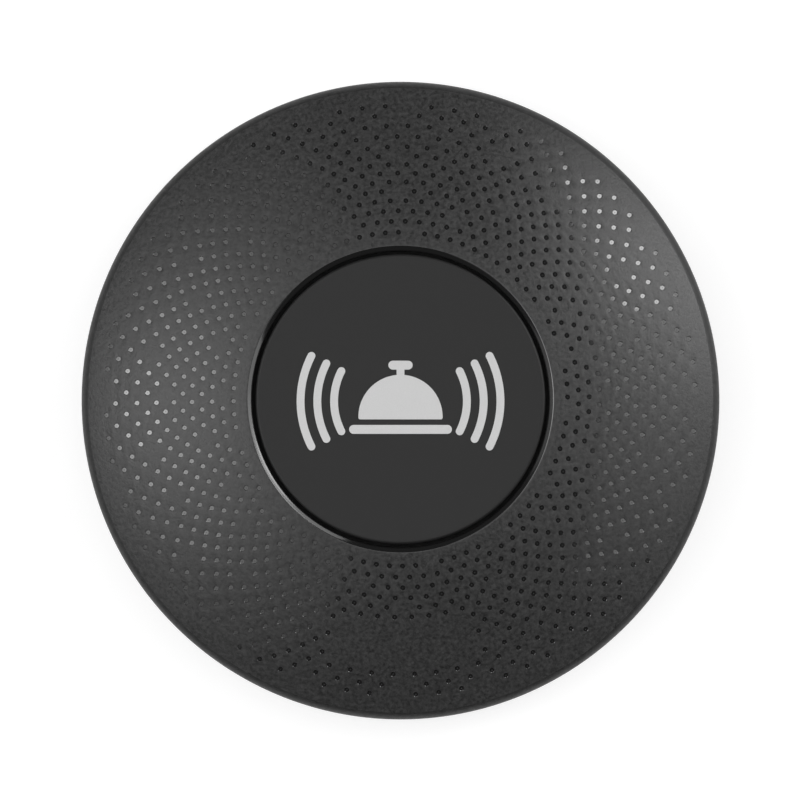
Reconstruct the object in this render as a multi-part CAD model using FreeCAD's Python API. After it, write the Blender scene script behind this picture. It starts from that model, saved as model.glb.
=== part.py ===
"""Waiter call button: a low round housing with a domed top cover, a large push button in a well, and a
bayonet battery cap in the base. Millimetres, +Z up, the origin on the table at the middle of the feet.
-Y is the side nearest the person who presses it."""

import FreeCAD
import Part
import math
import os

# Overall form of the domed cover
cover_radius = 45.0
cover_wall = 1.8
side_height = 2.6
edge_round = 2.0
cover_rib_count = 8
cover_rib_wall = 1.0
cover_rib_depth = 1.6
cover_rib_clear = 0.6

# Call button, and the well that it sits in
button_radius = 20.3
button_gap = 0.5
button_proud = 0.05
button_face = 1.7
button_round = 0.5
button_travel = 0.6
skirt_wall = 1.4
skirt_floor_gap = 0.4
post_radius = 3.0
post_length = 1.25
button_rib_wall = 0.9
button_rib_depth = 0.7
button_rib_count = 8
bore_edge = 0.7
bore_edge_slope = 35.0
bore_edge_round = 0.3
collar_wall = 1.6
well_floor = 1.2

# Snap hooks that hold the button down in the well
hook_count = 4
hook_first_angle = 45.0
hook_wall = 1.2
hook_width = 5.0
hook_inset = 1.6
barb_reach = 0.8
barb_height = 1.05
barb_nose = 0.45
hook_play = 0.05
hook_side_play = 0.3
hook_back_play = 0.9
hook_slot_play = 0.2

# Return spring
spring_wire = 0.6
spring_radius = 8.6
spring_turns = 2.5
spring_ring_wall = 0.7
spring_ring_depth = 1.1
spring_ring_play = 0.2

# Silicone seal that covers the hole in the well floor
seal_web = 0.5
seal_skirt_wall = 0.8
seal_boss_rise = 0.3
seal_nub = 0.2
seal_nub_radius = 1.5
seal_lip_wall = 1.2
seal_lip_rise = 0.8
switch_hole_radius = 5.2

# Tactile switch
switch_side = 6.0
switch_base_height = 2.8
switch_plate = 0.3
switch_floor = 1.6
switch_cavity_radius = 2.4
plunger_radius = 1.7
plunger_flange_radius = 2.2
plunger_flange = 0.6
plunger_rise = 0.8
plunger_play = 0.1
plunger_travel = 0.25
dome_sheet = 0.1
dome_rise = 0.35
terminal_wall = 0.25
terminal_width = 0.7
terminal_pitch = 4.5
terminal_rise = 1.2

# Circuit board and what holds it
board_thickness = 1.0
board_play = 0.6
board_post_count = 3
board_post_first_angle = 90.0
board_post_inset = 3.8
board_post_radius = 2.4
board_screw_radius = 1.0
board_screw_head_radius = 1.9
board_screw_head = 1.2
board_screw_length = 5.0
board_screw_play = 0.1

# Parts soldered on the board, placed by radius and angle
chip_length = 8.6
chip_width = 3.9
chip_height = 1.4
chip_standoff = 0.12
chip_place_radius = 12.5
chip_lead_pairs = 7
chip_lead_pitch = 1.2
chip_lead_width = 0.42
chip_lead_reach = 1.0
chip_lead_wall = 0.2
can_length = 7.5
can_width = 6.5
can_height = 1.6
can_round = 0.5
can_place_radius = 12.5
crystal_length = 3.2
crystal_width = 2.5
crystal_height = 0.9
crystal_place_radius = 12.5
led_length = 3.0
led_width = 1.4
led_base = 0.6
led_lens = 0.7
led_lens_length = 2.0
led_inset = 4.1
led_angle = 60.0
passive_length = 2.0
passive_width = 1.25
resistor_height = 0.5
capacitor_height = 0.9
passive_inset = 5.1
passive_count = 4
resistor_first_angle = 124.0
capacitor_first_angle = -20.0
passive_angle_step = 9.0

# Stamped antenna, a bowed strip that stands over the board's front edge on two legs through the board
antenna_sheet = 0.4
antenna_height = 1.2
antenna_inset = 2.6
antenna_half_angle = 18.0
antenna_leg_half_angle = 1.2
antenna_rise = 0.8
antenna_tail = 0.7
antenna_play = 0.05
antenna_leg_play_angle = 0.1

# Coin cell and its contacts
battery_radius = 12.25
battery_height = 5.0
battery_lid_inset = 1.25
battery_lid_rise = 0.3
battery_lid_depth = 0.9
battery_gasket_wall = 0.5
battery_cap_gap = 0.1
contact_gap = 0.7
contact_sheet = 0.3
contact_width = 4.0
contact_play = 0.05
plus_foot_length = 3.0
plus_contact_depth = 3.4
minus_base_length = 6.0
minus_arm_length = 9.0
holder_wall = 1.4
holder_play = 0.35
holder_drop = 5.3
holder_bridge = 0.9
holder_slot_side = 0.8

# Base shell
foot_proud = 1.0
base_height = 5.3
base_floor = 2.2
base_taper = 7.0
base_bulge = 0.7
base_wall = 1.8
lip_height = 0.5
lip_reveal = 0.5
tongue_height = 1.45
tongue_wall = 1.6
tongue_play = 0.15

# Ring seal between the base and the cover
rim_seal_width = 0.85
rim_seal_height = 0.7
rim_seal_rise = 0.4
rim_seal_play = 0.03

# Rubber feet
foot_count = 4
foot_radius = 4.9
foot_recess = 0.5
foot_inset = 15.0
foot_chamfer = 0.35
foot_play = 0.1

# Screws that close the housing from below
screw_count = 4
screw_first_angle = 45.0
screw_inset = 11.5
screw_radius = 1.25
screw_head_radius = 2.2
screw_head = 1.6
screw_length = 8.0
screw_play = 0.2
thread_play = 0.03
screw_head_play = 0.4
screw_sink = 2.2
post_wall = 1.35
boss_wall = 1.35
boss_joint_rise = 1.2
boss_joint_gap = 0.1
pilot_spare = 0.5
cross_width = 0.5
cross_length = 2.4
cross_depth = 0.9

# Battery cap with three bayonet lugs, turned with a coin
cap_sink = 0.2
cap_recess = 1.2
cap_flange_overlap = 3.3
cap_play = 0.3
cap_face_play = 0.05
plug_overlap = 0.65
plug_play = 0.25
plug_pocket = 0.6
plug_pocket_wall = 1.4
lug_count = 3
lug_reach = 1.3
lug_height = 0.9
lug_play = 0.1
lug_half_angle = 12.0
notch_half_angle = 14.0
cap_turn_angle = 40.0
stop_angle = 4.0
stop_play_angle = 2.0
cap_chamfer = 0.25
coin_slot_length = 17.0
coin_slot_width = 1.9
coin_slot_depth = 0.8
cap_seal_width = 0.6
cap_seal_height = 0.55
cap_seal_inset = 1.2
cap_seal_play = 0.03

# One overrun serves every cut
overrun = 1.0

# Heights, from the table up
base_bottom = foot_proud
base_floor_top = base_bottom + base_floor
ledge_bottom = base_bottom + cap_recess
cap_bottom = base_bottom + cap_sink
cap_flange_top = ledge_bottom - cap_face_play
cap_seal_bottom = ledge_bottom - cap_seal_play - cap_seal_height
plug_top = base_floor_top + lug_play + lug_height
battery_bottom = plug_top + battery_cap_gap
battery_top = battery_bottom + battery_height
board_bottom = battery_top + contact_gap
board_top = board_bottom + board_thickness
switch_top = board_top + switch_base_height + switch_plate
plunger_top = switch_top + plunger_rise
well_lip_top = plunger_top + seal_nub
well_floor_top = well_lip_top - seal_lip_rise
well_floor_bottom = well_floor_top - well_floor
seal_top = well_lip_top + seal_web
seal_boss_top = seal_top + seal_boss_rise
post_bottom = seal_boss_top + button_travel - plunger_travel
button_under = post_bottom + post_length
button_top = button_under + button_face
skirt_bottom = well_floor_top + button_travel + skirt_floor_gap
bore_edge_height = button_top - button_proud

# Radii that follow from those sizes
bore_radius = button_radius + button_gap
bore_edge_radius = bore_radius + bore_edge
collar_radius = bore_radius + collar_wall
hook_outer = button_radius - skirt_wall - hook_inset
hook_inner = hook_outer - hook_wall
screw_circle = cover_radius - screw_inset
post_outer = screw_radius + screw_play + post_wall
boss_outer = screw_radius + boss_wall
board_radius = screw_circle - post_outer - board_play
board_post_circle = board_radius - board_post_inset
led_place_radius = board_radius - led_inset
passive_place_radius = board_radius - passive_inset
antenna_radius = board_radius - antenna_inset
foot_circle = cover_radius - foot_inset
seal_lip_radius = switch_hole_radius + seal_lip_wall
battery_lid_radius = battery_radius - battery_lid_inset
plug_radius = battery_radius + plug_overlap
lug_radius = plug_radius + lug_reach
cap_radius = plug_radius + cap_flange_overlap
holder_inner = battery_radius + holder_play
holder_outer = holder_inner + holder_wall
rim_seal_outer = cover_radius - cover_wall - rim_seal_play
rim_seal_inner = rim_seal_outer - rim_seal_width
cap_seal_outer = cap_radius - cap_seal_inset
cap_seal_inner = cap_seal_outer - cap_seal_width

# The dome is part of the sphere through the bore's edge and the top of the cover's side
parting = base_bottom + base_height
rim_height = parting + side_height
dome_drop = bore_edge_height - rim_height
dome_centre = (bore_edge_height + rim_height
               - (cover_radius ** 2 - bore_edge_radius ** 2) / dome_drop) / 2
dome_radius = math.hypot(cover_radius, rim_height - dome_centre)
crown = dome_centre + dome_radius
boss_joint = parting + boss_joint_rise
rim_seal_bottom = parting + rim_seal_rise


def point(x, y, z):
    return FreeCAD.Vector(x, y, z)


ORIGIN = point(0, 0, 0)
UP = point(0, 0, 1)


def disc(radius, low, high):
    return Part.makeCylinder(radius, high - low, point(0, 0, low))


def ring(outer, inner, low, high):
    return disc(outer, low, high).cut(disc(inner, low, high))


def turned(shape, angle):
    copy = shape.copy()
    copy.rotate(ORIGIN, UP, angle)
    return copy


def around(shape, count, first_angle):
    step = 360.0 / count
    return [turned(shape, first_angle + step * index) for index in range(count)]


def standing(radius, low, high, distance):
    """An upright cylinder on the X axis at a distance from the middle."""
    return Part.makeCylinder(radius, high - low, point(distance, 0, low))


def block(length, width, low, high, distance=0.0):
    """A box centred on the X axis at a distance from the middle."""
    return Part.makeBox(length, width, high - low, point(distance - length / 2, -width / 2, low))


def joined(shapes):
    return shapes[0].multiFuse(shapes[1:]).removeSplitter()


def outline(points):
    """A closed outline in the XZ plane; a group of three points is an arc."""
    edges = []
    here = points[0]
    for item in points[1:] + [points[0]]:
        if isinstance(item[0], tuple):
            middle, end = item
            edges.append(Part.Arc(point(here[0], 0, here[1]), point(middle[0], 0, middle[1]),
                                  point(end[0], 0, end[1])).toShape())
            here = end
        elif item != here:
            edges.append(Part.LineSegment(point(here[0], 0, here[1]), point(item[0], 0, item[1])).toShape())
            here = item
    return Part.Face(Part.Wire(edges))


def revolved(points):
    return outline(points).revolve(ORIGIN, UP, 360)


def swept_sector(inner, outer, low, high, half_angle):
    """A sector of a ring, centred on the X axis."""
    profile = outline([(inner, low), (outer, low), (outer, high), (inner, high)])
    return turned(profile.revolve(ORIGIN, UP, 2 * half_angle), -half_angle)


def round_edges(shape, radius, wanted):
    edges = [edge for edge in shape.Edges if wanted(edge)]
    return shape.makeFillet(radius, edges)


def circle_at(radius, height):
    """Picks the circular edges of that radius, centred on the axis, at that height."""
    def wanted(edge):
        if edge.Degenerated:
            return False
        curve = edge.Curve
        return (isinstance(curve, Part.Circle) and math.isclose(curve.Radius, radius, rel_tol=1e-6)
                and math.isclose(curve.Center.z, height, rel_tol=1e-6)
                and math.isclose(math.hypot(curve.Center.x, curve.Center.y), 0, abs_tol=radius * 1e-6))
    return wanted


# Domed top cover

def dome_height(radius, shrink=0.0):
    return dome_centre + math.sqrt((dome_radius - shrink) ** 2 - radius ** 2)


def dome_arc(start, end, shrink=0.0):
    """The arc along the dome between two radii, for an outline."""
    middle = (start + end) / 2
    return (middle, dome_height(middle, shrink)), (end, dome_height(end, shrink))


def rim_round():
    """The round between the dome and the cover's upright side: its upper end, middle and lower end."""
    out = cover_radius - edge_round
    up = math.sqrt((dome_radius - edge_round) ** 2 - out ** 2)
    scale = dome_radius / (dome_radius - edge_round)
    angle = math.atan2(up, out) / 2
    middle = (out + edge_round * math.cos(angle), dome_centre + up + edge_round * math.sin(angle))
    return (out * scale, dome_centre + up * scale), middle, (cover_radius, dome_centre + up)


def bore_slope():
    """The slope from the bore's wall up to the dome: its foot, and the ends and middle of its upper round."""
    slope = math.radians(bore_edge_slope)
    fall = math.asin(bore_edge_radius / dome_radius)
    half_turn = (slope + fall) / 2
    reach = bore_edge_round * math.tan(half_turn)
    foot = (bore_radius, bore_edge_height - bore_edge * math.tan(slope))
    low = (bore_edge_radius - reach * math.cos(slope), bore_edge_height - reach * math.sin(slope))
    high = (bore_edge_radius + reach * math.cos(fall), bore_edge_height - reach * math.sin(fall))
    sink = bore_edge_round * (1 / math.cos(half_turn) - 1)
    lean = (slope - fall) / 2
    middle = (bore_edge_radius + sink * math.sin(lean), bore_edge_height - sink * math.cos(lean))
    return foot, low, middle, high


def cover_shell():
    """The domed shell, the button's well and the lip round the switch hole, in one turned piece."""
    foot, slope_end, slope_middle, slope_top = bore_slope()
    rim_dome, rim_middle, rim_wall = rim_round()
    middle = (slope_top[0] + rim_dome[0]) / 2
    inner = cover_radius - cover_wall
    return revolved([foot, slope_end, (slope_middle, slope_top), ((middle, dome_height(middle)), rim_dome),
                     (rim_middle, rim_wall), (cover_radius, parting), (inner, parting),
                     (inner, dome_height(inner, cover_wall)), dome_arc(inner, collar_radius, cover_wall),
                     (collar_radius, well_floor_bottom), (switch_hole_radius, well_floor_bottom),
                     (switch_hole_radius, well_lip_top), (seal_lip_radius, well_lip_top),
                     (seal_lip_radius, well_floor_top), (bore_radius, well_floor_top)])


def cover_rib():
    """A radial rib under the dome, from the collar out to just inside the base's tongue."""
    start = bore_radius + collar_wall / 2
    end = cover_radius - cover_wall - tongue_play - tongue_wall - cover_rib_clear
    sunk, edge = cover_wall / 2, cover_wall + cover_rib_depth
    face = outline([(start, dome_height(start, sunk)), dome_arc(start, end, sunk),
                    (end, dome_height(end, edge)), dome_arc(end, start, edge)])
    rib = face.extrude(point(0, cover_rib_wall, 0))
    rib.translate(point(0, -cover_rib_wall / 2, 0))
    return rib


def hook_slots():
    low, high = hook_inner - hook_back_play, hook_outer + hook_slot_play
    slot = block(high - low, hook_width + 2 * hook_side_play, well_floor_bottom - overrun,
                 well_floor_top + overrun, (low + high) / 2)
    return around(slot, hook_count, hook_first_angle)


def top_cover():
    inside = revolved([(0, parting), (cover_radius - cover_wall / 2, parting),
                       (cover_radius - cover_wall / 2, dome_height(cover_radius - cover_wall / 2, cover_wall / 2)),
                       dome_arc(cover_radius - cover_wall / 2, 0, cover_wall / 2)])
    boss = standing(boss_outer, boss_joint + boss_joint_gap, crown, screw_circle).common(inside)
    bosses = around(boss, screw_count, screw_first_angle)
    ribs = around(cover_rib(), cover_rib_count, 180.0 / cover_rib_count)
    body = joined([cover_shell()] + ribs + bosses)
    pilot = standing(screw_radius + thread_play, boss_joint,
                     base_bottom + screw_sink + screw_length + pilot_spare, screw_circle)
    return body.cut(Part.makeCompound(hook_slots() + around(pilot, screw_count, screw_first_angle)))


# Call button

def button_hook():
    top = well_floor_bottom - hook_play
    tip = top - barb_height
    face = outline([(hook_inner, button_under), (hook_inner, tip), (hook_outer, tip),
                    (hook_outer + barb_reach, top - barb_nose), (hook_outer + barb_reach, top),
                    (hook_outer, top), (hook_outer, button_under)])
    hook = face.extrude(point(0, hook_width, 0))
    hook.translate(point(0, -hook_width / 2, 0))
    return hook


def call_button():
    inner = button_radius - skirt_wall
    shell = disc(button_radius, skirt_bottom, button_top).cut(disc(inner, skirt_bottom, button_under))
    shell = round_edges(shell, button_round, circle_at(button_radius, button_top))
    post = disc(post_radius, post_bottom, button_under)
    ring_outer = spring_radius - spring_wire / 2 - spring_ring_play
    spring_ring = ring(ring_outer, ring_outer - spring_ring_wall, button_under - spring_ring_depth,
                       button_under)
    rib = Part.makeBox(inner, button_rib_wall, button_rib_depth,
                       point(0, -button_rib_wall / 2, button_under - button_rib_depth))
    ribs = Part.makeCompound(around(rib, button_rib_count, 0.0)).cut(disc(spring_radius + spring_wire, 0, crown))
    hooks = around(button_hook(), hook_count, hook_first_angle)
    return joined([shell, post, spring_ring] + ribs.Solids + hooks)


# Springs and coils

def biarc(start, start_way, end, end_way):
    """Two arcs that leave start along start_way and reach end along end_way."""
    across = end - start
    ways = start_way + end_way
    spread = 2 * (1 - start_way.dot(end_way))
    reach = (math.sqrt(across.dot(ways) ** 2 + spread * across.dot(across)) - across.dot(ways)) / spread
    first, last = start + start_way * reach, end - end_way * reach
    joint = (first + last) / 2
    arcs = []
    for low, corner, high in ((start, first, joint), (joint, last, end)):
        leg, chord = corner - low, high - low
        weight = leg.dot(chord) / (leg.Length * chord.Length)
        middle = (low + corner * (2 * weight) + high) / (2 + 2 * weight)
        arcs.append(Part.Arc(low, middle, high).toShape())
    return arcs


def coil_line(radius, pitch, turns):
    """The line of a coil about +Z, from the X axis at height 0, in half turns."""
    def place(angle):
        return point(radius * math.cos(angle), radius * math.sin(angle), pitch * angle / (2 * math.pi))

    def way(angle):
        along = point(-radius * math.sin(angle), radius * math.cos(angle), pitch / (2 * math.pi))
        return along.normalize()

    edges = []
    for step in range(round(2 * turns)):
        low, high = step * math.pi, (step + 1) * math.pi
        edges += biarc(place(low), way(low), place(high), way(high))
    return edges, way(0)


def least_gap(edges, wire):
    """The least gap of a coil to itself, measured on points of its line that are half a turn or more apart."""
    per_edge = 24
    points = [spot for edge in edges for spot in edge.discretize(per_edge)]
    half_turn = 2 * per_edge
    return min(points[index].distanceToPoint(points[other]) for index in range(len(points))
               for other in range(index + half_turn, len(points))) - wire


def return_spring():
    height = button_under - well_floor_top
    edges, way = coil_line(spring_radius, (height - spring_wire) / spring_turns, spring_turns)
    print("return spring: least gap to itself", round(least_gap(edges, spring_wire), 3), "mm")
    section = Part.Wire(Part.makeCircle(spring_wire / 2, edges[0].Vertexes[0].Point, way))
    spring = Part.Wire(edges).makePipeShell([section], True, False)
    spring.translate(point(0, 0, well_floor_top + spring_wire / 2))
    return spring


# Seal over the switch

def seal_membrane():
    outer = seal_lip_radius + seal_skirt_wall
    return revolved([(0, plunger_top), (seal_nub_radius, plunger_top), (seal_nub_radius, well_lip_top),
                     (seal_lip_radius, well_lip_top), (seal_lip_radius, well_floor_top),
                     (outer, well_floor_top), (outer, seal_top), (post_radius, seal_top),
                     (post_radius, seal_boss_top), (0, seal_boss_top)])


# Tactile switch

def switch_base():
    top = board_top + switch_base_height
    body = block(switch_side, switch_side, board_top, top)
    return body.cut(disc(switch_cavity_radius, board_top + switch_floor, top + overrun))


def switch_plate_cover():
    low = board_top + switch_base_height
    plate = block(switch_side, switch_side, low, switch_top)
    return plate.cut(disc(plunger_radius + plunger_play, low - overrun, switch_top + overrun))


def switch_plunger():
    stem_low = board_top + switch_base_height - plunger_play
    stem = disc(plunger_radius, stem_low, plunger_top)
    return joined([stem, disc(plunger_flange_radius, stem_low - plunger_flange, stem_low)])


def snap_dome():
    """A thin spring-metal dome on the switch's floor, under the plunger."""
    reach = switch_cavity_radius - plunger_play
    curve = (reach ** 2 + dome_rise ** 2) / (2 * dome_rise)
    low = board_top + switch_floor
    centre = point(0, 0, low + dome_rise - curve)
    cap = Part.makeSphere(curve + dome_sheet, centre).cut(Part.makeSphere(curve, centre))
    return cap.common(disc(reach, low, low + dome_rise + 2 * dome_sheet))


def switch_terminals():
    strips = []
    for side in (-1, 1):
        for row in (-1, 1):
            strip = Part.makeBox(terminal_wall, terminal_width, board_top - board_bottom + terminal_rise,
                                 point(switch_side / 2, row * terminal_pitch / 2 - terminal_width / 2,
                                       board_bottom))
            strips.append(strip if side > 0 else turned(strip, 180))
    return Part.makeCompound(strips)


# Circuit board

def circuit_board():
    board = disc(board_radius, board_bottom, board_top)
    low, high = board_bottom - overrun, board_top + overrun
    hole = standing(board_screw_radius + board_screw_play, low, high, board_post_circle)
    holes = around(hole, board_post_count, board_post_first_angle)
    holes += antenna_legs(low, high, antenna_play, antenna_leg_play_angle)
    return board.cut(Part.makeCompound(holes + switch_terminals().Solids))


def board_screws():
    shank = standing(board_screw_radius, board_top - board_screw_length, board_top, board_post_circle)
    head = standing(board_screw_head_radius, board_top, board_top + board_screw_head, board_post_circle)
    screw = joined([shank, head]).cut(cross_recess(board_post_circle, board_top + board_screw_head, -1))
    return Part.makeCompound(around(screw, board_post_count, board_post_first_angle))


def cross_recess(distance, face, way):
    """A cross for the driver, sunk into a screw head from its face; way is -1 down and 1 up."""
    low, high = sorted((face - way * overrun, face + way * cross_depth))
    arm = block(cross_length, cross_width, low, high, distance)
    other = block(cross_width, cross_length, low, high, distance)
    return arm.fuse(other)


# Parts on the board

def controller_chip():
    low = board_top + chip_standoff
    body = block(chip_width, chip_length, low, low + chip_height)
    leads = []
    first = -chip_lead_pitch * (chip_lead_pairs - 1) / 2
    shoulder = low + chip_height / 2
    for index in range(chip_lead_pairs):
        along = first + index * chip_lead_pitch
        half = chip_width / 2
        knee = half + chip_lead_reach / 2
        profile = outline([(half, shoulder), (knee, shoulder), (knee, board_top + chip_lead_wall),
                           (half + chip_lead_reach, board_top + chip_lead_wall),
                           (half + chip_lead_reach, board_top), (knee - chip_lead_wall, board_top),
                           (knee - chip_lead_wall, shoulder - chip_lead_wall), (half, shoulder - chip_lead_wall)])
        lead = profile.extrude(point(0, chip_lead_width, 0))
        lead.translate(point(0, along - chip_lead_width / 2, 0))
        leads += [lead, turned(lead, 180)]
    chip = joined([body] + leads)
    chip.translate(point(-chip_place_radius, 0, 0))
    return chip


def radio_can():
    can = block(can_width, can_length, board_top, board_top + can_height, can_place_radius)
    upright = [edge for edge in can.Edges if edge.BoundBox.ZLength > can_height / 2]
    return can.makeFillet(can_round, upright)


def crystal():
    body = block(crystal_width, crystal_length, board_top, board_top + crystal_height, crystal_place_radius)
    return turned(body, -90)


def indicator_led():
    base = block(led_width, led_length, board_top, board_top + led_base, led_place_radius)
    lens = block(led_width, led_lens_length, board_top + led_base, board_top + led_base + led_lens,
                 led_place_radius)
    return turned(joined([base, lens]), led_angle)


def antenna_legs(low, high, play=0.0, play_angle=0.0):
    leg = swept_sector(antenna_radius - play, antenna_radius + antenna_sheet + play, low, high,
                       antenna_leg_half_angle + play_angle)
    reach = antenna_half_angle - antenna_leg_half_angle
    return [turned(leg, side * reach - 90) for side in (-1, 1)]


def antenna_strip():
    low = board_top + antenna_rise
    high = low + antenna_height
    bow = swept_sector(antenna_radius, antenna_radius + antenna_sheet, low, high, antenna_half_angle)
    return joined([turned(bow, -90)] + antenna_legs(board_bottom - antenna_tail, high))


def passives(height, first_angle):
    piece = block(passive_width, passive_length, board_top, board_top + height, passive_place_radius)
    return Part.makeCompound([turned(piece, first_angle + passive_angle_step * index)
                              for index in range(passive_count)])


# Coin cell, its holder and contacts

def battery_can():
    body = disc(battery_radius, battery_bottom, battery_top - battery_lid_rise)
    seat = disc(battery_lid_radius + battery_gasket_wall, battery_top - battery_lid_depth, battery_top)
    return body.cut(seat)


def battery_lid():
    return disc(battery_lid_radius, battery_top - battery_lid_depth, battery_top)


def battery_gasket():
    return ring(battery_lid_radius + battery_gasket_wall, battery_lid_radius,
                battery_top - battery_lid_depth, battery_top - battery_lid_rise)


def battery_holder():
    """A collar round the cell, open on one side for the plus contact and on the other for a finger."""
    low = board_bottom - holder_drop
    body = ring(holder_outer, holder_inner, low, board_bottom)
    width = contact_width + 2 * holder_slot_side
    contact_slot = block(holder_outer, width, low - overrun, board_bottom + overrun, holder_outer)
    finger_slot = block(holder_outer, width, low - overrun, board_bottom - holder_bridge, -holder_outer)
    return body.cut([contact_slot, finger_slot])


def contact_plus():
    """A strip that presses on the side of the cell and folds out under the board."""
    face = battery_radius + contact_play
    profile = outline([(face, board_bottom), (face, board_bottom - plus_contact_depth),
                       (face + contact_sheet, board_bottom - plus_contact_depth),
                       (face + contact_sheet, board_bottom - contact_sheet),
                       (face + plus_foot_length, board_bottom - contact_sheet),
                       (face + plus_foot_length, board_bottom)])
    strip = profile.extrude(point(0, contact_width, 0))
    strip.translate(point(0, -contact_width / 2, 0))
    return strip


def contact_minus():
    """A leaf soldered under the board that bows down to the middle of the cell."""
    low = battery_top
    top = board_bottom
    middle = minus_arm_length / 2
    bow = top - low - contact_sheet
    profile = outline([(-minus_base_length, top), (-minus_base_length, top - contact_sheet),
                       (0, top - contact_sheet),
                       ((middle, top - contact_sheet - bow), (minus_arm_length, top - contact_sheet)),
                       (minus_arm_length, top),
                       ((middle, top - bow), (0, top))])
    leaf = profile.extrude(point(0, contact_width, 0))
    leaf.translate(point(0, -contact_width / 2, 0))
    return leaf


# Base shell

def base_curve(inner_radius, low, outer_radius, high):
    """The middle point of the arc that bulges out and down between two points."""
    width, rise = outer_radius - inner_radius, high - low
    length = math.hypot(width, rise)
    return ((inner_radius + outer_radius) / 2 + base_bulge * rise / length,
            (low + high) / 2 - base_bulge * width / length)


def cap_seat():
    """What the battery cap needs cut from the base's floor, and the stops that end its turn."""
    lug_room = lug_radius + cap_play
    recess = disc(cap_radius + cap_play, base_bottom - overrun, ledge_bottom)
    hole = disc(plug_radius + plug_play, base_bottom, base_floor_top + overrun)
    notch = swept_sector(plug_radius - lug_reach, lug_room, ledge_bottom - overrun / 2,
                         base_floor_top + overrun, notch_half_angle)
    stop = swept_sector(plug_radius + plug_play, lug_room, base_floor_top, plug_top, stop_angle / 2)
    locked = lug_half_angle + stop_play_angle + stop_angle / 2
    opened = -cap_turn_angle - locked
    stops = around(stop, lug_count, locked) + around(stop, lug_count, opened)
    return [recess, hole] + around(notch, lug_count, -cap_turn_angle), stops


def base_shell():
    flat = cover_radius - base_taper
    lip = cover_radius - lip_reveal
    lip_bottom = parting - lip_height
    tongue_outer = cover_radius - cover_wall - tongue_play
    tongue_inner = tongue_outer - tongue_wall
    inner_flat = flat - base_wall
    bowl = revolved([(0, base_bottom), (flat, base_bottom),
                     (base_curve(flat, base_bottom, lip, lip_bottom), (lip, lip_bottom)),
                     (lip, parting), (tongue_outer, parting), (tongue_outer, parting + tongue_height),
                     (tongue_inner, parting + tongue_height), (tongue_inner, parting),
                     (base_curve(inner_flat, base_floor_top, tongue_inner, parting), (inner_flat, base_floor_top)),
                     (0, base_floor_top)])
    cuts, stops = cap_seat()
    post = standing(post_outer, base_bottom, boss_joint, screw_circle)
    board_post = standing(board_post_radius, base_floor_top, board_bottom, board_post_circle)
    posts = around(post, screw_count, screw_first_angle)
    board_posts = around(board_post, board_post_count, board_post_first_angle)
    body = joined([bowl] + posts + board_posts + stops)

    hole = standing(screw_radius + screw_play, base_bottom - overrun, boss_joint + overrun, screw_circle)
    sink = standing(screw_head_radius + screw_head_play, base_bottom - overrun, base_bottom + screw_sink,
                    screw_circle)
    pilot = standing(board_screw_radius + thread_play, board_top - board_screw_length - pilot_spare,
                     board_bottom + overrun, board_post_circle)
    foot = standing(foot_radius + foot_play, base_bottom - overrun, base_bottom + foot_recess, foot_circle)
    groove = ring(tongue_outer + overrun, rim_seal_inner - rim_seal_play,
                  rim_seal_bottom - rim_seal_play, rim_seal_bottom + rim_seal_height + rim_seal_play)
    cuts += around(hole, screw_count, screw_first_angle) + around(sink, screw_count, screw_first_angle)
    cuts += around(pilot, board_post_count, board_post_first_angle) + around(foot, foot_count, 0.0)
    return body.cut(cuts + [groove])


def rim_seal():
    return ring(rim_seal_outer, rim_seal_inner, rim_seal_bottom, rim_seal_bottom + rim_seal_height)


def rubber_feet():
    foot = standing(foot_radius, 0, base_bottom + foot_recess, foot_circle)
    foot = foot.makeChamfer(foot_chamfer, [edge for edge in foot.Edges if edge.BoundBox.ZMax < foot_chamfer])
    return Part.makeCompound(around(foot, foot_count, 0.0))


def base_screws():
    seat = base_bottom + screw_sink
    head = standing(screw_head_radius, seat - screw_head, seat, screw_circle)
    shank = standing(screw_radius, seat, seat + screw_length, screw_circle)
    screw = joined([head, shank]).cut(cross_recess(screw_circle, seat - screw_head, 1))
    return Part.makeCompound(around(screw, screw_count, screw_first_angle))


# Battery cap

def battery_cap():
    flange = disc(cap_radius, cap_bottom, cap_flange_top)
    flange = flange.makeChamfer(cap_chamfer, [edge for edge in flange.Edges
                                              if circle_at(cap_radius, cap_bottom)(edge)])
    plug = disc(plug_radius, cap_flange_top, plug_top)
    lug = swept_sector(plug_radius - lug_reach, lug_radius, base_floor_top + lug_play, plug_top, lug_half_angle)
    body = joined([flange, plug] + around(lug, lug_count, 0.0))
    pocket = disc(plug_radius - plug_pocket_wall, plug_top - plug_pocket, plug_top + overrun)
    groove = ring(cap_seal_outer, cap_seal_inner, cap_seal_bottom, cap_flange_top + overrun)
    straight = coin_slot_length - coin_slot_width
    low, high = cap_bottom - overrun, cap_bottom + coin_slot_depth
    slot = [block(straight, coin_slot_width, low, high)]
    slot += [standing(coin_slot_width / 2, low, high, side * straight / 2) for side in (-1, 1)]
    return body.cut([pocket, groove, joined(slot)])


def battery_cap_seal():
    return ring(cap_seal_outer, cap_seal_inner, cap_seal_bottom, cap_seal_bottom + cap_seal_height)


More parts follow.
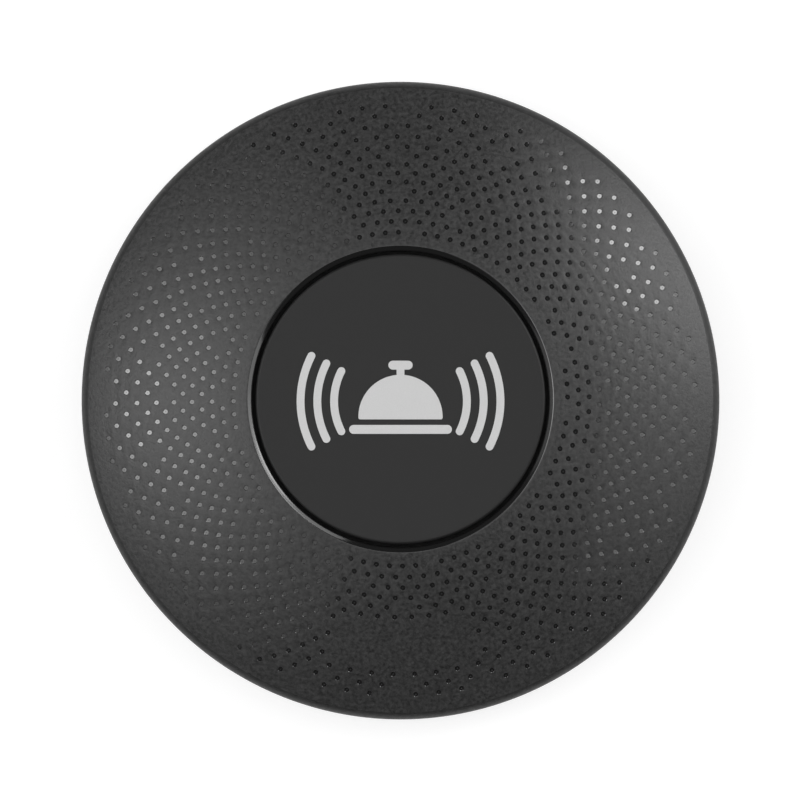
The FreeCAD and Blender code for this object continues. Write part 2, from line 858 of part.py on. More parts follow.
NODES = {
    "top_cover": top_cover,
    "base_shell": base_shell,
    "rim_seal": rim_seal,
    "rubber_feet": rubber_feet,
    "base_screws": base_screws,
    "circuit_board": circuit_board,
    "board_screws": board_screws,
    "switch_base": switch_base,
    "switch_plate": switch_plate_cover,
    "switch_terminals": switch_terminals,
    "snap_dome": snap_dome,
    "controller_chip": controller_chip,
    "radio_can": radio_can,
    "crystal": crystal,
    "indicator_led": indicator_led,
    "board_resistors": lambda: passives(resistor_height, resistor_first_angle),
    "board_capacitors": lambda: passives(capacitor_height, capacitor_first_angle),
    "antenna_strip": antenna_strip,
    "battery_can": battery_can,
    "battery_lid": battery_lid,
    "battery_gasket": battery_gasket,
    "battery_holder": battery_holder,
    "contact_plus": contact_plus,
    "contact_minus": contact_minus,
    "seal_membrane": seal_membrane,
    "return_spring": return_spring,
    "call_button": call_button,
    "switch_plunger": switch_plunger,
    "battery_cap": battery_cap,
    "battery_cap_seal": battery_cap_seal,
}


def main():
    os.makedirs("parts", exist_ok=True)
    for name, make in NODES.items():
        shape = make()
        shape.exportStep(os.path.join("parts", name + ".step"))
        print(name, "solids", len(shape.Solids), "volume", round(shape.Volume, 2), "valid", shape.isValid())


main()
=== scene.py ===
import math

import bmesh
import bpy
from mathutils import Matrix, Vector


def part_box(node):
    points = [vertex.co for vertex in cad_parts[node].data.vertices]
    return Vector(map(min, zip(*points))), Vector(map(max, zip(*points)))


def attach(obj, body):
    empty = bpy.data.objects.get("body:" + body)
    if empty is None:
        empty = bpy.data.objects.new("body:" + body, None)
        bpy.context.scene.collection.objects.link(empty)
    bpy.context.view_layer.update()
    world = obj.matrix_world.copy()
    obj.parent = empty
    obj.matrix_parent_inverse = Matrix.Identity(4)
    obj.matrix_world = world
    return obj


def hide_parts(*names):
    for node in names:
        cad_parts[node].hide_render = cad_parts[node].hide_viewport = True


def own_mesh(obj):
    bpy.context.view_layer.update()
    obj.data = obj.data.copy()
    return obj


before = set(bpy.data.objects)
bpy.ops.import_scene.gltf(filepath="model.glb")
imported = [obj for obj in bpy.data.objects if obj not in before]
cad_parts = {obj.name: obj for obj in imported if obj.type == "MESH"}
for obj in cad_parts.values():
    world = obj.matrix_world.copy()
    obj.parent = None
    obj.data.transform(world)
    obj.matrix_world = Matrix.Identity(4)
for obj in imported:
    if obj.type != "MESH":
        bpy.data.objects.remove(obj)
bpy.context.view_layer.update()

# Units, and the main sizes, which come from the boxes of the CAD parts
MM = 0.001
MICRON = 0.000001
FULL_TURN = 2 * math.pi
cover_low, cover_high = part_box("top_cover")
button_low, button_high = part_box("call_button")
cap_low, cap_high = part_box("battery_cap")
cap_seal_low, cap_seal_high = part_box("battery_cap_seal")
rim_seal_low, rim_seal_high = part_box("rim_seal")
spring_low, spring_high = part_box("return_spring")
snap_low, snap_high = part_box("snap_dome")
base_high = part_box("base_shell")[1]
feet_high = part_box("rubber_feet")[1]
membrane_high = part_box("seal_membrane")[1]
board_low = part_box("circuit_board")[0]

COVER_RADIUS = cover_high.x
PARTING = cover_low.z
BUTTON_RADIUS = button_high.x
BUTTON_TOP = button_high.z
HOOK_BOTTOM = button_low.z
WELL_FLOOR_TOP = spring_low.z

# Sizes of the cover that a box doesn't give
SIDE_HEIGHT = 2.6 * MM
EDGE_ROUND = 2.0 * MM
COVER_WALL = 1.8 * MM
BUTTON_GAP = 0.5 * MM
BUTTON_PROUD = 0.05 * MM
BORE_EDGE = 0.7 * MM
BORE_EDGE_ROUND = 0.3 * MM
BORE_EDGE_SLOPE = math.radians(35)
COLLAR_WALL = 1.6 * MM
WELL_FLOOR = 1.2 * MM
SWITCH_HOLE_RADIUS = 5.2 * MM
LIP_WALL = 1.2 * MM
LIP_TOP = WELL_FLOOR_TOP + 0.8 * MM
RIB_COUNT = 8
RIB_WALL = 1.0 * MM
RIB_DEPTH = 1.6 * MM
RIB_END_GAP = 2.35 * MM
BOSS_RADIUS = 2.6 * MM
BOSS_BOTTOM = PARTING + 1.3 * MM
PILOT_RADIUS = 1.28 * MM
PILOT_ROOF = 1.2 * MM
SCREW_CIRCLE = 33.5 * MM

# How far joined pieces reach into each other, and the small bevel on moulded corners
RIB_SINK = 0.3 * MM
BOSS_SINK = 0.4 * MM
JOIN = 0.2 * MM
CORNER = 0.12 * MM

# Angles about Z, in degrees, of what stands several times round the middle
SCREW_ANGLES = (45, 135, 225, 315)
HOOK_ANGLES = SCREW_ANGLES
FOOT_ANGLES = (0, 90, 180, 270)
BOARD_POST_ANGLES = (90, 210, 330)
LUG_ANGLES = (0, 120, 240)
RIB_ANGLES = [360 * (n + 0.5) / RIB_COUNT for n in range(RIB_COUNT)]

# The dome is the sphere through the bore's edge and the top of the cover's side
BORE_RADIUS = BUTTON_RADIUS + BUTTON_GAP
BORE_EDGE_RADIUS = BORE_RADIUS + BORE_EDGE
BORE_EDGE_HEIGHT = BUTTON_TOP - BUTTON_PROUD
RIM_HEIGHT = PARTING + SIDE_HEIGHT
DOME_DROP = BORE_EDGE_HEIGHT - RIM_HEIGHT
DOME_CENTRE = (BORE_EDGE_HEIGHT + RIM_HEIGHT - (COVER_RADIUS ** 2 - BORE_EDGE_RADIUS ** 2) / DOME_DROP) / 2
DOME_RADIUS = math.hypot(COVER_RADIUS, RIM_HEIGHT - DOME_CENTRE)

# Dimple field: the rings' radii, and the places in a ring that stay plain
FIELD_COLUMNS = 80
FIELD_FIRST_ANGLE = math.radians(0.71)
STEPS_PER_COLUMN = 4
FIELD_RINGS = [radius * MM for radius in (23.41, 24.97, 26.45, 27.89, 29.28, 30.58, 31.83, 33.06, 34.31,
                                          35.59, 37.08, 38.62, 40.14, 41.5)]
PLAIN_PLACES = {
    1: (3, 4, 7, 19, 26, 28, 30, 34, 43, 48, 49, 55, 62, 67, 68, 73, 79),
    2: (9, 12, 23, 39),
    3: (3, 6, 16, 36, 46, 52, 57, 71, 76),
    4: (42, 48),
    5: (0, 20, 60, 66),
    6: (13,),
    7: (30, 34),
    8: (3, 39, 50),
    9: (0, 20, 45),
    10: (6, 11, 32, 37, 42, 72, 75, 77),
    11: (15, 48),
    13: (0, 20, 60),
    14: tuple(range(3, FIELD_COLUMNS, 4)),
}
PLAIN_WINDOW = {7: (57, 63), 8: (55, 63), 9: (57, 63), 10: (56, 64), 11: (57, 63)}

# Places of the cover skin's three materials in its list
SATIN, GLOSS, RIM_SATIN_SHADE = range(3)
BORE_SATIN_ROWS = 4

# A dimple's circles, from its skirt to its pit: radius, depth, and the material of the band outside it
DIMPLE_RADIUS = 0.37 * MM
DIMPLE_SKIRT = 0.09 * MM
DIMPLE_SINK = 0.012 * MM
DIMPLE_LIP = 0.035 * MM
DIMPLE_DEPTH = 0.09 * MM
DIMPLE_FLOOR_RADIUS = 0.315 * MM
DIMPLE_PIT_RADIUS = 0.05 * MM
DIMPLE_PIT_DEPTH = 0.055 * MM
DIMPLE_CIRCLES = (
    (DIMPLE_RADIUS + DIMPLE_SKIRT, 0, SATIN),
    (DIMPLE_RADIUS, DIMPLE_SINK, SATIN),
    (DIMPLE_RADIUS - DIMPLE_LIP / 2, DIMPLE_LIP, SATIN),
    (DIMPLE_FLOOR_RADIUS, DIMPLE_DEPTH, GLOSS),
    (DIMPLE_PIT_RADIUS, DIMPLE_DEPTH, GLOSS),
)


# Mesh helpers

SHARP_ANGLE = 32.0
ARC_SAG = 1 - math.sqrt(0.5)


def arc(start, middle, end, steps):
    """Points along the circle through three points of an outline, without the start."""
    (ax, ay), (bx, by), (cx, cy) = start, middle, end
    a_square, b_square, c_square = ax * ax + ay * ay, bx * bx + by * by, cx * cx + cy * cy
    spread = 2 * (ax * (by - cy) + bx * (cy - ay) + cx * (ay - by))
    x = (a_square * (by - cy) + b_square * (cy - ay) + c_square * (ay - by)) / spread
    y = (a_square * (cx - bx) + b_square * (ax - cx) + c_square * (bx - ax)) / spread
    radius = math.hypot(ax - x, ay - y)
    first = math.atan2(ay - y, ax - x)
    through = (math.atan2(by - y, bx - x) - first) % FULL_TURN
    turn = (math.atan2(cy - y, cx - x) - first) % FULL_TURN
    if through > turn:
        turn -= FULL_TURN
    angles = [first + turn * n / steps for n in range(1, steps + 1)]
    return [(x + radius * math.cos(angle), y + radius * math.sin(angle)) for angle in angles]


def rounded(points, radius, steps=5):
    """A closed outline with its corners rounded; radius is one value, or one per point."""
    out = []
    count = len(points)
    for index in range(count):
        size = radius[index] if isinstance(radius, (list, tuple)) else radius
        here = Vector(points[index])
        back, on = Vector(points[index - 1]), Vector(points[(index + 1) % count])
        if size <= 0:
            out.append(tuple(here))
            continue
        a, b = (back - here).normalized(), (on - here).normalized()
        half = a.angle(b) / 2
        reach = size / math.tan(half)
        start, end = here + a * reach, here + b * reach
        centre = here + (a + b).normalized() * (size / math.sin(half))
        middle = centre + (here - centre).normalized() * size
        out.append(tuple(start))
        out += arc(tuple(start), tuple(middle), tuple(end), steps)
    return out


def ring_of(x, y, radius, first, last, steps):
    """Points on a circle between two angles in degrees, both ends with it."""
    angles = [math.radians(first + (last - first) * n / steps) for n in range(steps + 1)]
    return [(x + radius * math.cos(angle), y + radius * math.sin(angle)) for angle in angles]


def bar(x, y, width, height):
    """A bar with round ends, centred on a point."""
    reach = (width - height) / 2
    return ring_of(x + reach, y, height / 2, -90, 90, 12) + ring_of(x - reach, y, height / 2, 90, 270, 12)


def lathe(outline, steps, first_angle=0.0, closed=True):
    """Vertices and faces of an outline turned about Z; points on the axis share one vertex."""
    verts, rows = [], []
    for radius, height in outline:
        if radius < MICRON:
            rows.append([len(verts)] * steps)
            verts.append((0, 0, height))
            continue
        rows.append(list(range(len(verts), len(verts) + steps)))
        for step in range(steps):
            angle = first_angle + FULL_TURN * step / steps
            verts.append((radius * math.cos(angle), radius * math.sin(angle), height))
    faces = []
    pairs = len(rows) if closed else len(rows) - 1
    for index in range(pairs):
        low, high = rows[index], rows[(index + 1) % len(rows)]
        for step in range(steps):
            on = (step + 1) % steps
            corners = [low[step], low[on], high[on], high[step]]
            face = [corner for n, corner in enumerate(corners) if corner != corners[n - 1]]
            if len(face) > 2:
                faces.append(face)
    return verts, faces


def tube(radius, low, high, steps=64):
    """A solid round bar about Z."""
    return lathe([(0, low), (radius, low), (radius, high), (0, high)], steps)


def prism(points, low, high):
    """A flat outline in X and Y, raised between two heights."""
    count = len(points)
    verts = [(x, y, low) for x, y in points] + [(x, y, high) for x, y in points]
    faces = [list(range(count - 1, -1, -1)), list(range(count, 2 * count))]
    faces += [[n, (n + 1) % count, count + (n + 1) % count, count + n] for n in range(count)]
    return verts, faces


def sector(inner, outer, low, high, middle, half):
    """A closed sector of a ring, from its middle and half angles in degrees."""
    points = ring_of(0, 0, outer, middle - half, middle + half, 24)
    points += ring_of(0, 0, inner, middle + half, middle - half, 24)
    return prism(points, low, high)


def upright(outline, wall):
    """A wall across Y whose outline is given in X and Z."""
    verts, faces = prism(outline, -wall / 2, wall / 2)
    return [(x, -z, y) for x, y, z in verts], faces


def turned(part, angle, shift=(0, 0, 0)):
    """A part moved by a shift, then turned about Z by an angle in degrees."""
    verts, faces = part
    move = Matrix.Rotation(math.radians(angle), 4, "Z") @ Matrix.Translation(shift)
    return [tuple(move @ Vector(v)) for v in verts], faces


def around(part, angles, circle=0.0):
    """Copies of a part at angles about Z, moved out to a circle."""
    return [turned(part, angle, (circle, 0, 0)) for angle in angles]


def merged(parts):
    """Several closed parts in one list of vertices and faces."""
    verts, faces = [], []
    for part_verts, part_faces in parts:
        first = len(verts)
        verts += part_verts
        faces += [[first + n for n in face] for face in part_faces]
    return verts, faces


def smooth(mesh, angle):
    """Smooth shading, with the edges that bend more than an angle in degrees kept sharp."""
    mesh.polygons.foreach_set("use_smooth", [True] * len(mesh.polygons))
    mesh.set_sharp_from_angle(angle=math.radians(angle))


def make_object(name, part, materials, face_materials=None, weld=0.0, angle=SHARP_ANGLE):
    """A piece from vertices and faces, with its normals turned outwards."""
    mesh = bpy.data.meshes.new(name)
    mesh.from_pydata(part[0], [], part[1])
    for material in materials:
        mesh.materials.append(material)
    if face_materials:
        mesh.polygons.foreach_set("material_index", face_materials)
    work = bmesh.new()
    work.from_mesh(mesh)
    if weld:
        bmesh.ops.remove_doubles(work, verts=work.verts, dist=weld)
    bmesh.ops.recalc_face_normals(work, faces=work.faces)
    work.to_mesh(mesh)
    work.free()
    smooth(mesh, angle)
    obj = bpy.data.objects.new(name, mesh)
    bpy.context.scene.collection.objects.link(obj)
    return obj


def carve(obj, cutters, operation="DIFFERENCE"):
    """Cuts closed parts out of a piece, or joins them to it, and keeps the result in its mesh."""
    tool = make_object("carve_tool", merged(cutters), [])
    modifier = obj.modifiers.new("carve", "BOOLEAN")
    modifier.operation = operation
    modifier.object = tool
    modifier.solver = "MANIFOLD"
    bpy.context.view_layer.update()
    done = bpy.data.meshes.new_from_object(obj.evaluated_get(bpy.context.evaluated_depsgraph_get()))
    obj.modifiers.clear()
    obj.data = done
    bpy.data.objects.remove(tool)
    smooth(obj.data, SHARP_ANGLE)


def dress(obj, body, slot, *nodes):
    """Puts a finished piece on its body, in place of the CAD nodes that it stands for; the slot is not used.
    """
    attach(obj, body)
    if nodes:
        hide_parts(*nodes)


# Materials

CLOUD_SCALE = 90.0
CLOUD_STRENGTH = 0.15
CLOUD_HEIGHT = 0.05 * MM
MARK_STRENGTH = 0.2
MARK_HEIGHT = 0.01 * MM
TRACK_SCALE = 260.0
TRACK_STRENGTH = 0.6
TRACK_HEIGHT = 0.04 * MM
MASK_GREEN = (0.004, 0.05, 0.018)
TRACK_GREEN = (0.012, 0.12, 0.045)


def grey(value):
    return (value, value, value)


def node_tree(name):
    material = bpy.data.materials.new(name)
    material.use_nodes = True
    nodes, links = material.node_tree.nodes, material.node_tree.links
    return material, nodes, links, nodes["Principled BSDF"]


def add_noise(nodes, links, where, scale, detail=3.0, roughness=0.6):
    noise = nodes.new("ShaderNodeTexNoise")
    noise.inputs["Scale"].default_value = scale
    noise.inputs["Detail"].default_value = detail
    noise.inputs["Roughness"].default_value = roughness
    links.new(where, noise.inputs["Vector"])
    return noise.outputs["Fac"]


def add_range(nodes, links, value, low, high, start=0.3, end=0.7):
    """Spreads a value between start and end over the range from low to high."""
    spread = nodes.new("ShaderNodeMapRange")
    spread.inputs["From Min"].default_value = start
    spread.inputs["From Max"].default_value = end
    spread.inputs["To Min"].default_value = low
    spread.inputs["To Max"].default_value = high
    links.new(value, spread.inputs["Value"])
    return spread.outputs["Result"]


def add_mix(nodes, links, factor, first, second):
    mix = nodes.new("ShaderNodeMix")
    mix.data_type = "RGBA"
    links.new(factor, mix.inputs["Factor"])
    mix.inputs["A"].default_value = (*first, 1)
    mix.inputs["B"].default_value = (*second, 1)
    return mix.outputs["Result"]


def add_bump(nodes, links, shader, height, strength, distance, under=None):
    """Raises the surface by a height, on top of another bump where one is given."""
    bump = nodes.new("ShaderNodeBump")
    bump.inputs["Strength"].default_value = strength
    bump.inputs["Distance"].default_value = distance
    links.new(height, bump.inputs["Height"])
    if under is not None:
        links.new(under, bump.inputs["Normal"])
    links.new(bump.outputs["Normal"], shader.inputs["Normal"])
    return bump.outputs["Normal"]


def moulded(name, dark, light, rough_low, rough_high, grain=4200.0, grain_strength=0.35,
            grain_height=0.02 * MM, specular=0.5, grain_fineness=0.65):
    """A moulded plastic: one fine grain in its colour, gloss and height, over a faint unevenness."""
    material, nodes, links, shader = node_tree(name)
    where = nodes.new("ShaderNodeTexCoord").outputs["Object"]
    cloud = add_noise(nodes, links, where, CLOUD_SCALE, 4.0)
    fine = add_noise(nodes, links, where, grain, 4.0, grain_fineness)
    links.new(add_mix(nodes, links, add_range(nodes, links, fine, 0, 1), dark, light),
              shader.inputs["Base Color"])
    links.new(add_range(nodes, links, fine, rough_low, rough_high), shader.inputs["Roughness"])
    shader.inputs["Specular IOR Level"].default_value = specular
    soft = add_bump(nodes, links, shader, cloud, CLOUD_STRENGTH, CLOUD_HEIGHT)
    add_bump(nodes, links, shader, fine, grain_strength, grain_height, soft)
    return material


def metal(name, dark, light, rough_low, rough_high, stretch=(1, 1, 1), scale=900.0):
    """A plated or drawn metal with fine marks; stretch sets the marks' scale along each axis."""
    material, nodes, links, shader = node_tree(name)
    where = nodes.new("ShaderNodeTexCoord").outputs["Object"]
    mapping = nodes.new("ShaderNodeMapping")
    mapping.inputs["Scale"].default_value = stretch
    links.new(where, mapping.inputs["Vector"])
    marks = add_noise(nodes, links, mapping.outputs["Vector"], scale, 5.0, 0.7)
    links.new(add_mix(nodes, links, add_range(nodes, links, marks, 0, 1), dark, light),
              shader.inputs["Base Color"])
    links.new(add_range(nodes, links, marks, rough_low, rough_high), shader.inputs["Roughness"])
    shader.inputs["Metallic"].default_value = 1.0
    add_bump(nodes, links, shader, marks, MARK_STRENGTH, MARK_HEIGHT)
    return material


def laminate(name):
    """Green solder mask over copper: tracks show as slightly raised, lighter lines."""
    material, nodes, links, shader = node_tree(name)
    where = nodes.new("ShaderNodeTexCoord").outputs["Object"]
    cells = nodes.new("ShaderNodeTexVoronoi")
    cells.feature = "DISTANCE_TO_EDGE"
    cells.distance = "MANHATTAN"
    cells.inputs["Scale"].default_value = TRACK_SCALE
    links.new(where, cells.inputs["Vector"])
    tracks = add_range(nodes, links, cells.outputs["Distance"], 1, 0, 0.05, 0.09)
    links.new(add_mix(nodes, links, tracks, MASK_GREEN, TRACK_GREEN), shader.inputs["Base Color"])
    links.new(add_range(nodes, links, add_noise(nodes, links, where, 700.0), 0.22, 0.34),
              shader.inputs["Roughness"])
    add_bump(nodes, links, shader, tracks, TRACK_STRENGTH, TRACK_HEIGHT)
    return material


COVER = moulded("cover_satin", grey(0.012), grey(0.044), 0.28, 0.46, grain=1900.0, grain_strength=0.6,
                grain_height=0.08 * MM, specular=0.49)
# Rim round: the cover's own moulding, rougher and more grainy (real), and painted darker than the cover as
# shade where the rounded edge turns away from the lamps
RIM_PAINTED_SHADE = moulded("rim_satin_painted_shade", grey(0.009), grey(0.018), 0.42, 0.56, grain=1500.0, grain_strength=0.9,
              grain_height=0.08 * MM, specular=0.42, grain_fineness=0.5)
DIMPLE = moulded("dimple_gloss", grey(0.0025), grey(0.0035), 0.09, 0.12, grain_strength=0.03,
                 specular=1.15)
BUTTON = moulded("button_satin", grey(0.0083), grey(0.01), 0.5, 0.6, grain=6000.0, grain_strength=0.2,
                 specular=0.4)
# Floor of the button's well: a matt finish (real), in a colour darker than the cover it is moulded with, as
# painted shade in the recess
WELL_SHADE = moulded("well_matt_painted_shade", grey(0.015), grey(0.02), 0.55, 0.65, grain=3000.0, specular=0.4)
BASE = moulded("base_satin", (0.012, 0.012, 0.0123), (0.016, 0.016, 0.0163), 0.48, 0.62, grain=3000.0,
               grain_strength=0.45, grain_height=0.03 * MM)
PRINT = moulded("print_silver", grey(0.55), grey(0.62), 0.38, 0.48, grain=9000.0, grain_strength=0.15)
RUBBER = moulded("rubber_black", grey(0.011), grey(0.018), 0.75, 0.9, grain=1800.0, grain_strength=0.3,
                 specular=0.3)
SILICONE = moulded("silicone_grey", (0.2, 0.205, 0.21), (0.25, 0.255, 0.26), 0.5, 0.62, grain=1500.0,
                   grain_strength=0.15)
HOUSING = moulded("switch_black", grey(0.008), grey(0.014), 0.4, 0.55, grain=5000.0)
PLUNGER = moulded("plunger_gloss", grey(0.012), grey(0.02), 0.15, 0.25, grain=3000.0, grain_strength=0.08)
RESIN = moulded("chip_epoxy", (0.01, 0.01, 0.011), (0.02, 0.02, 0.021), 0.45, 0.62, grain=7000.0,
                grain_strength=0.5)
CERAMIC = moulded("capacitor_ceramic", (0.22, 0.13, 0.06), (0.3, 0.19, 0.1), 0.45, 0.6, grain=6000.0)
LENS = moulded("white_gloss", (0.7, 0.7, 0.68), (0.78, 0.78, 0.76), 0.12, 0.2, grain=2000.0,
               grain_strength=0.05)
ZINC = metal("screw_zinc", (0.42, 0.42, 0.43), grey(0.58), 0.25, 0.42)
WIRE = metal("spring_wire", (0.5, 0.5, 0.51), grey(0.62), 0.18, 0.3)
NICKEL = metal("contact_nickel", (0.6, 0.58, 0.53), (0.7, 0.68, 0.63), 0.2, 0.32)
CELL = metal("cell_steel", grey(0.58), grey(0.68), 0.22, 0.36, stretch=(1, 6, 1))
BOARD = laminate("board_green")


# Domed cover with its dimple field

def dome_height(radius, shrink=0.0):
    """Height of the dome, or of the sphere that is smaller by shrink, at a radius."""
    return DOME_CENTRE + math.sqrt((DOME_RADIUS - shrink) ** 2 - radius ** 2)


def dome_point(radius, angle, depth=0.0):
    """A point on the dome, or a depth under it along its normal."""
    height = dome_height(radius) - DOME_CENTRE
    scale = (DOME_RADIUS - depth) / DOME_RADIUS
    return (radius * scale * math.cos(angle), radius * scale * math.sin(angle), DOME_CENTRE + height * scale)


def dome_run(start, end, steps, shrink=0.0):
    """Outline points along the dome between two radii, without the start."""
    radii = [start + (end - start) * n / steps for n in range(1, steps + 1)]
    return [(radius, dome_height(radius, shrink)) for radius in radii]


def rim_round():
    """The round between the dome and the cover's upright side: its upper end, middle and lower end."""
    out = COVER_RADIUS - EDGE_ROUND
    up = math.sqrt((DOME_RADIUS - EDGE_ROUND) ** 2 - out ** 2)
    scale = DOME_RADIUS / (DOME_RADIUS - EDGE_ROUND)
    angle = math.atan2(up, out) / 2
    middle = (out + EDGE_ROUND * math.cos(angle), DOME_CENTRE + up + EDGE_ROUND * math.sin(angle))
    return (out * scale, DOME_CENTRE + up * scale), middle, (COVER_RADIUS, DOME_CENTRE + up)


def bore_edge_outline():
    """The sloped edge of the bore, from the bore's wall up to the dome, with its upper corner rounded."""
    outer = BORE_EDGE_RADIUS
    slope = math.asin(outer / DOME_RADIUS)
    reach = BORE_EDGE_ROUND * math.tan((slope + BORE_EDGE_SLOPE) / 2)
    corner = (outer, dome_height(outer))
    low = (BORE_RADIUS, corner[1] - BORE_EDGE * math.tan(BORE_EDGE_SLOPE))
    start = (outer - reach * math.cos(BORE_EDGE_SLOPE), corner[1] - reach * math.sin(BORE_EDGE_SLOPE))
    end = (outer + reach, dome_height(outer + reach))
    way = Vector((math.sin(slope) - math.sin(BORE_EDGE_SLOPE), math.cos(slope) + math.cos(BORE_EDGE_SLOPE)))
    sink = BORE_EDGE_ROUND * (1 / math.cos((slope + BORE_EDGE_SLOPE) / 2) - 1)
    middle = Vector(corner) - way.normalized() * sink
    return [low, start] + arc(start, tuple(middle), end, 7)


def field_bounds():
    """Radii of the circles between the rings of dimples, and just inside and outside them."""
    middles = [(a + b) / 2 for a, b in zip(FIELD_RINGS, FIELD_RINGS[1:])]
    first = 2 * FIELD_RINGS[0] - middles[0]
    last = 2 * FIELD_RINGS[-1] - middles[-1]
    return [first] + middles + [last]


def is_plain(ring_number, place):
    low, high = PLAIN_WINDOW.get(ring_number, (1, 0))
    return place in PLAIN_PLACES.get(ring_number, ()) or low <= place <= high


def cell_loop(inner, outer, first_step):
    """The places round one cell of the field, as radius and step, from its inner left corner."""
    span = STEPS_PER_COLUMN
    loop = [(inner, first_step + n) for n in range(span)]
    loop += [(inner + (outer - inner) * n / span, first_step + span) for n in range(span)]
    loop += [(outer, first_step + span - n) for n in range(span)]
    loop += [(outer + (inner - outer) * n / span, first_step) for n in range(span)]
    return loop


def dimple_circle(ring_radius, centre_angle, size, depth):
    """A circle round a dimple's centre, with as many points as a cell's edge."""
    count = 4 * STEPS_PER_COLUMN
    points = []
    for n in range(count):
        turn = FULL_TURN * (n - STEPS_PER_COLUMN / 2) / count
        along, across = -size * math.cos(turn), size * math.sin(turn)
        radius = math.hypot(ring_radius + along, across)
        angle = centre_angle + math.atan2(across, ring_radius + along)
        points.append(dome_point(radius, angle, depth))
    return points


def add_loop(verts, points):
    """Adds points to a list of vertices and gives their numbers."""
    first = len(verts)
    verts.extend(points)
    return list(range(first, first + len(points)))


def band(outer, inner):
    """Faces between two loops with the same number of points."""
    count = len(outer)
    return [[outer[n], outer[(n + 1) % count], inner[(n + 1) % count], inner[n]] for n in range(count)]


def dimple(verts, edge, ring_radius, centre_angle):
    """Faces from a cell's edge down to the pit of its dimple, and the material of each."""
    faces, finish = [], []
    outer = edge
    for size, depth, material in DIMPLE_CIRCLES:
        inner = add_loop(verts, dimple_circle(ring_radius, centre_angle, size, depth))
        faces += band(outer, inner)
        finish += [material] * len(inner)
        outer = inner
    deepest = add_loop(verts, [dome_point(ring_radius, centre_angle, DIMPLE_DEPTH + DIMPLE_PIT_DEPTH)])[0]
    faces += [[outer[n - 1], outer[n], deepest] for n in range(len(outer))]
    finish += [GLOSS] * len(outer)
    return faces, finish


def dimple_field():
    """The dome between its first and last circles, one cell a dimple, with the places that stay plain."""
    bounds = field_bounds()
    step_angle = FULL_TURN / (FIELD_COLUMNS * STEPS_PER_COLUMN)
    half_column = STEPS_PER_COLUMN // 2
    verts, faces, finish = [], [], []
    for index, ring_radius in enumerate(FIELD_RINGS):
        for place in range(FIELD_COLUMNS):
            centre_step = place * STEPS_PER_COLUMN + index % 2 * half_column
            loop = cell_loop(bounds[index], bounds[index + 1], centre_step - half_column)
            edge = add_loop(verts, [dome_point(radius, FIELD_FIRST_ANGLE + step * step_angle)
                                    for radius, step in loop])
            if is_plain(index + 1, place):
                faces.append(edge)
                finish.append(SATIN)
                continue
            centre_angle = FIELD_FIRST_ANGLE + centre_step * step_angle
            cell_faces, cell_finish = dimple(verts, edge, ring_radius, centre_angle)
            faces += cell_faces
            finish += cell_finish
    return verts, faces, finish


def make_skin():
    """The cover's shell, from the field's outer circle round the rim and inside, up to its inner circle."""
    bounds = field_bounds()
    bore_turn = bore_edge_outline()
    rim_dome, rim_middle, rim_wall = rim_round()
    inner = COVER_RADIUS - COVER_WALL
    collar = BORE_RADIUS + COLLAR_WALL
    floor_bottom = WELL_FLOOR_TOP - WELL_FLOOR
    chain = [(bounds[-1], dome_height(bounds[-1]))]
    chain += dome_run(bounds[-1], rim_dome[0], 2)
    first_rim = len(chain) - 1
    chain += arc(rim_dome, rim_middle, rim_wall, 8)
    chain += [(COVER_RADIUS, PARTING + CORNER), (COVER_RADIUS - CORNER, PARTING)]
    last_rim = len(chain)
    chain += [(inner, PARTING), (inner, dome_height(inner, COVER_WALL))]
    chain += dome_run(inner, collar, 4, COVER_WALL)
    chain += [(collar, floor_bottom), (BORE_RADIUS, floor_bottom), (BORE_RADIUS, WELL_FLOOR_TOP)]
    first_gloss = len(chain) - 1
    last_gloss = first_gloss + len(bore_turn) - BORE_SATIN_ROWS
    chain += bore_turn
    chain += dome_run(bore_turn[-1][0], bounds[0], 2)
    rows = [SATIN] * (len(chain) - 1)
    # The rim round's rows take the rim material, whose darker colour is painted shade
    rows[first_rim:last_rim] = [RIM_SATIN_SHADE] * (last_rim - first_rim)
    rows[first_gloss:last_gloss] = [GLOSS] * (last_gloss - first_gloss)
    steps = FIELD_COLUMNS * STEPS_PER_COLUMN
    shell = lathe(chain, steps, FIELD_FIRST_ANGLE, closed=False)
    shell_finish = [material for material in rows for step in range(steps)]
    verts, faces, field_finish = dimple_field()
    return make_object("cover_skin", merged([shell, (verts, faces)]), [COVER, DIMPLE, RIM_PAINTED_SHADE],
                       shell_finish + field_finish, weld=0.5 * MICRON)


def make_well():
    """The floor of the button's well, with the lip round the switch's hole and the hooks' slots."""
    floor_bottom = WELL_FLOOR_TOP - WELL_FLOOR
    outer = BORE_RADIUS + JOIN
    lip = SWITCH_HOLE_RADIUS + LIP_WALL
    outline = [(SWITCH_HOLE_RADIUS, floor_bottom), (outer, floor_bottom), (outer, WELL_FLOOR_TOP),
               (lip, WELL_FLOOR_TOP), (lip, LIP_TOP), (SWITCH_HOLE_RADIUS, LIP_TOP)]
    # The well's floor takes the darker material that paints the shade in the recess
    well = make_object("cover_well_floor", lathe(outline, 96), [WELL_SHADE])
    carve(well, around(hook_slot(), HOOK_ANGLES))
    return well


def cover_rib():
    """A radial rib under the dome."""
    start = BORE_RADIUS + COLLAR_WALL / 2
    end = COVER_RADIUS - COVER_WALL - RIB_END_GAP
    outline = [(start, dome_height(start, COVER_WALL - RIB_SINK))]
    outline += dome_run(start, end, 10, COVER_WALL - RIB_SINK)
    outline += [(end, dome_height(end, COVER_WALL + RIB_DEPTH))]
    outline += dome_run(end, start, 10, COVER_WALL + RIB_DEPTH)
    return upright(outline, RIB_WALL)


def screw_boss():
    """A boss under the dome, open below for its screw."""
    roof = dome_height(SCREW_CIRCLE, COVER_WALL)
    return lathe([(PILOT_RADIUS, BOSS_BOTTOM), (BOSS_RADIUS, BOSS_BOTTOM), (BOSS_RADIUS, roof + BOSS_SINK),
                  (0, roof + BOSS_SINK), (0, roof - PILOT_ROOF), (PILOT_RADIUS, roof - PILOT_ROOF)], 40)


